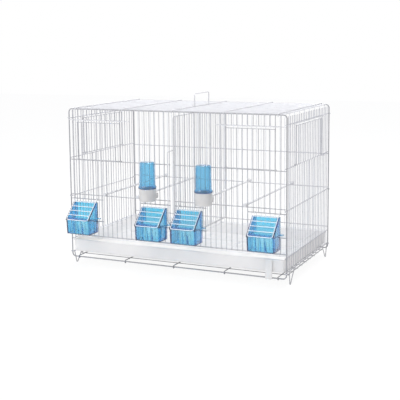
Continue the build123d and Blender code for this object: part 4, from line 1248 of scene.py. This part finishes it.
# %% Perches
PERCH_RADIUS, CAP_RADIUS, CAP_LENGTH, PERCH_SIDES = 3.0, 5.0, 14.0, 28
PERCH_RISE, PERCH_OVERHANG, PERCH_BARS = 4.5, 6.8, (-14, -7, 5, 14)
perch_axis = z_perch + PERCH_RISE
perch_end = half_depth + PERCH_OVERHANG
notch_roof = z_perch + rail_half + play
notch_half = rail_half + play


def perch_rod(x):
    """Point = axis + radius * (sin turn, cos turn); in the notch, low points are lifted to its roof.

    Each station of one half holds its distance along, its radius and 1 where it lies in the notch.
    """
    cap, notch_in, notch_out = perch_end - CAP_LENGTH, -y_rail - notch_half, -y_rail + notch_half
    half = [(0.0, PERCH_RADIUS, 0), (cap - 0.8, PERCH_RADIUS, 0)]
    half += [(cap, CAP_RADIUS - 0.6, 0), (cap + 0.6, CAP_RADIUS, 0)]
    half += [(notch_in, CAP_RADIUS, 0), (notch_in, CAP_RADIUS, 1)]
    half += [(notch_out, CAP_RADIUS, 1), (notch_out, CAP_RADIUS, 0), (perch_end - 0.9, CAP_RADIUS, 0)]
    half += [(perch_end - 0.3, CAP_RADIUS - 0.25, 0), (perch_end, CAP_RADIUS - 0.9, 0)]
    half = np.array(half)
    along, radius, notched = np.concatenate([half[:0:-1] * [-1, 1, 1], half]).T[:, :, None]
    angle = np.arange(PERCH_SIDES) * 2 * np.pi / PERCH_SIDES
    lift = perch_axis + radius * np.cos(angle)
    lift = np.where(notched > 0, np.maximum(lift, notch_roof), lift)
    rings = np.broadcast_arrays(x + radius * np.sin(angle), along, lift)
    return np.stack(rings, -1).reshape(-1, 3), tube_faces(len(along), PERCH_SIDES)


for number, bars in enumerate(PERCH_BARS, 1):
    name = f"perch_{number}"
    rod = perch_rod(bars * bar_step)
    closed_seams(make_piece(name + "_rod", rod, name, [name], perch_grey))

# %% [markdown]
# ## Floor, light and camera
# The cage stands on a white sweep, as in a shop photograph. The sweep would turn grey in places if
# it were only lit, so what the camera sees of it is mostly a glow, and the small share that is lit
# keeps the shadow as a faint change. One wide soft lamp hangs above and a weaker one stands at the
# front left. The white world fills the rest, more from the front than from behind, so that white
# wire reads against white from every side, and at a level where a colour comes out about as it is
# written.

# %% White sweep
def seen_directly(tree):
    """Mask that is 1 for rays from the camera, off shiny faces and through clear ones."""
    path = add_node(tree, "LightPath")
    mask, out = path, "Is Camera Ray"
    for other in ("Is Glossy Ray", "Is Transmission Ray"):
        either = add_node(tree, "Math")
        either.operation = "MAXIMUM"
        link(tree, (mask, out, either, 0), (path, other, either, 1))
        mask, out = either, 0
    return mask


def bare_tree(holder):
    """Node tree of a material or a world, emptied."""
    holder.use_nodes = True
    holder.node_tree.nodes.clear()
    return holder.node_tree


def show_by_ray(tree, unseen, seen, output):
    """Output that gives one shader to rays that see it directly and the other to all the rest."""
    choice, out = add_node(tree, "MixShader"), add_node(tree, output)
    link(tree, (seen_directly(tree), 0, choice, 0), (unseen, 0, choice, 1), (seen, 0, choice, 2))
    link(tree, (choice, 0, out, "Surface"))


SWEEP_HALF, SWEEP_GLOW, SWEEP_SHARE = 6.0, 0.92, 0.10
sweep_mesh = bpy.data.meshes.new("white_sweep")
sweep_corners = flat_points(rectangle(-SWEEP_HALF, SWEEP_HALF, -SWEEP_HALF, SWEEP_HALF), "xy", 0)
sweep_mesh.from_pydata(sweep_corners.tolist(), [], [(0, 1, 2, 3)])
sweep = add_object("white_sweep", sweep_mesh)
paper = bpy.data.materials.new("white_paper")
tree = bare_tree(paper)
plain = add_node(tree, "BsdfDiffuse", Color=(0.82, 0.82, 0.83, 1))
lit = add_node(tree, "BsdfDiffuse", Color=(SWEEP_SHARE, SWEEP_SHARE, SWEEP_SHARE, 1))
glow = add_node(tree, "Emission", Strength=SWEEP_GLOW)
both_parts = add_node(tree, "AddShader")
link(tree, (lit, 0, both_parts, 0), (glow, 0, both_parts, 1))
show_by_ray(tree, plain, both_parts, "OutputMaterial")
sweep_mesh.materials.append(paper)
print("sweep of", 2 * SWEEP_HALF, "m")

# %% White room and lamps
FILL_NEAR, FILL_FAR, FILL_AWAY = 0.98, 0.36, (0.15, 0.99, 0.0)
world = bpy.data.worlds.new("white_room")
bpy.context.scene.world = world
tree = bare_tree(world)
fill = add_node(tree, "Background", Color=(0.95, 0.96, 1, 1))
white = add_node(tree, "Background", Color=(1, 1, 1, 1))
way, along = add_node(tree, "TexCoord"), add_node(tree, "VectorMath")
along.operation = "DOT_PRODUCT"
along.inputs[1].default_value = FILL_AWAY
slope = add_node(tree, "MapRange", From_Min=-1.0, From_Max=1.0, To_Min=FILL_NEAR, To_Max=FILL_FAR)
link(tree, (way, "Generated", along, 0), (along, "Value", slope, "Value"))
link(tree, (slope, "Result", fill, "Strength"))
show_by_ray(tree, fill, white, "OutputWorld")


def soft_lamp(name, place, aim, size, power):
    """Square lamp that shines from place towards aim."""
    lamp = bpy.data.lights.new(name, "AREA")
    lamp.size, lamp.energy = size, power
    lamp_object = add_object(name, lamp)
    lamp_object.location = place
    lamp_object.rotation_euler = (Vector(aim) - Vector(place)).to_track_quat("-Z", "Y").to_euler()
    print(name, power, "W")


soft_lamp("overhead_softbox", (0.2, 0.3, 2.5), (0, 0, 0.2), size=1.2, power=46.0)
soft_lamp("front_left_softbox", (-1.2, -1.9, 1.7), (0, 0, 0.2), size=1.5, power=13.0)

# %% [markdown]
# The camera stands to the right of the front and a little above the cage, far enough off that its
# sides hardly converge. The lens and the place were found by matching corners of the real cage; the
# picture was cropped, which is why the lens is shifted.

# %% Camera and view
CAMERA_X, CAMERA_Y, CAMERA_Z = 0.9585, -2.0871, 0.5905
CAMERA_YAW, CAMERA_PITCH, CAMERA_ROLL = radians(24.738), radians(7.257), radians(-0.515)
lens = bpy.data.cameras.new("front_right_camera")
lens.sensor_width, lens.lens, lens.shift_y = 36.0, 78.20, -0.125
camera = add_object("front_right_camera", lens)
turned_to = Matrix.Rotation(CAMERA_YAW, 4, "Z") @ Matrix.Rotation(radians(90) - CAMERA_PITCH, 4, "X")
turned_to = turned_to @ Matrix.Rotation(CAMERA_ROLL, 4, "Z")
camera.matrix_world = Matrix.Translation((CAMERA_X, CAMERA_Y + y_middle, CAMERA_Z)) @ turned_to
bpy.context.scene.camera = camera
bpy.context.scene.view_settings.view_transform = "Standard"
print("lens", lens.lens, "mm")
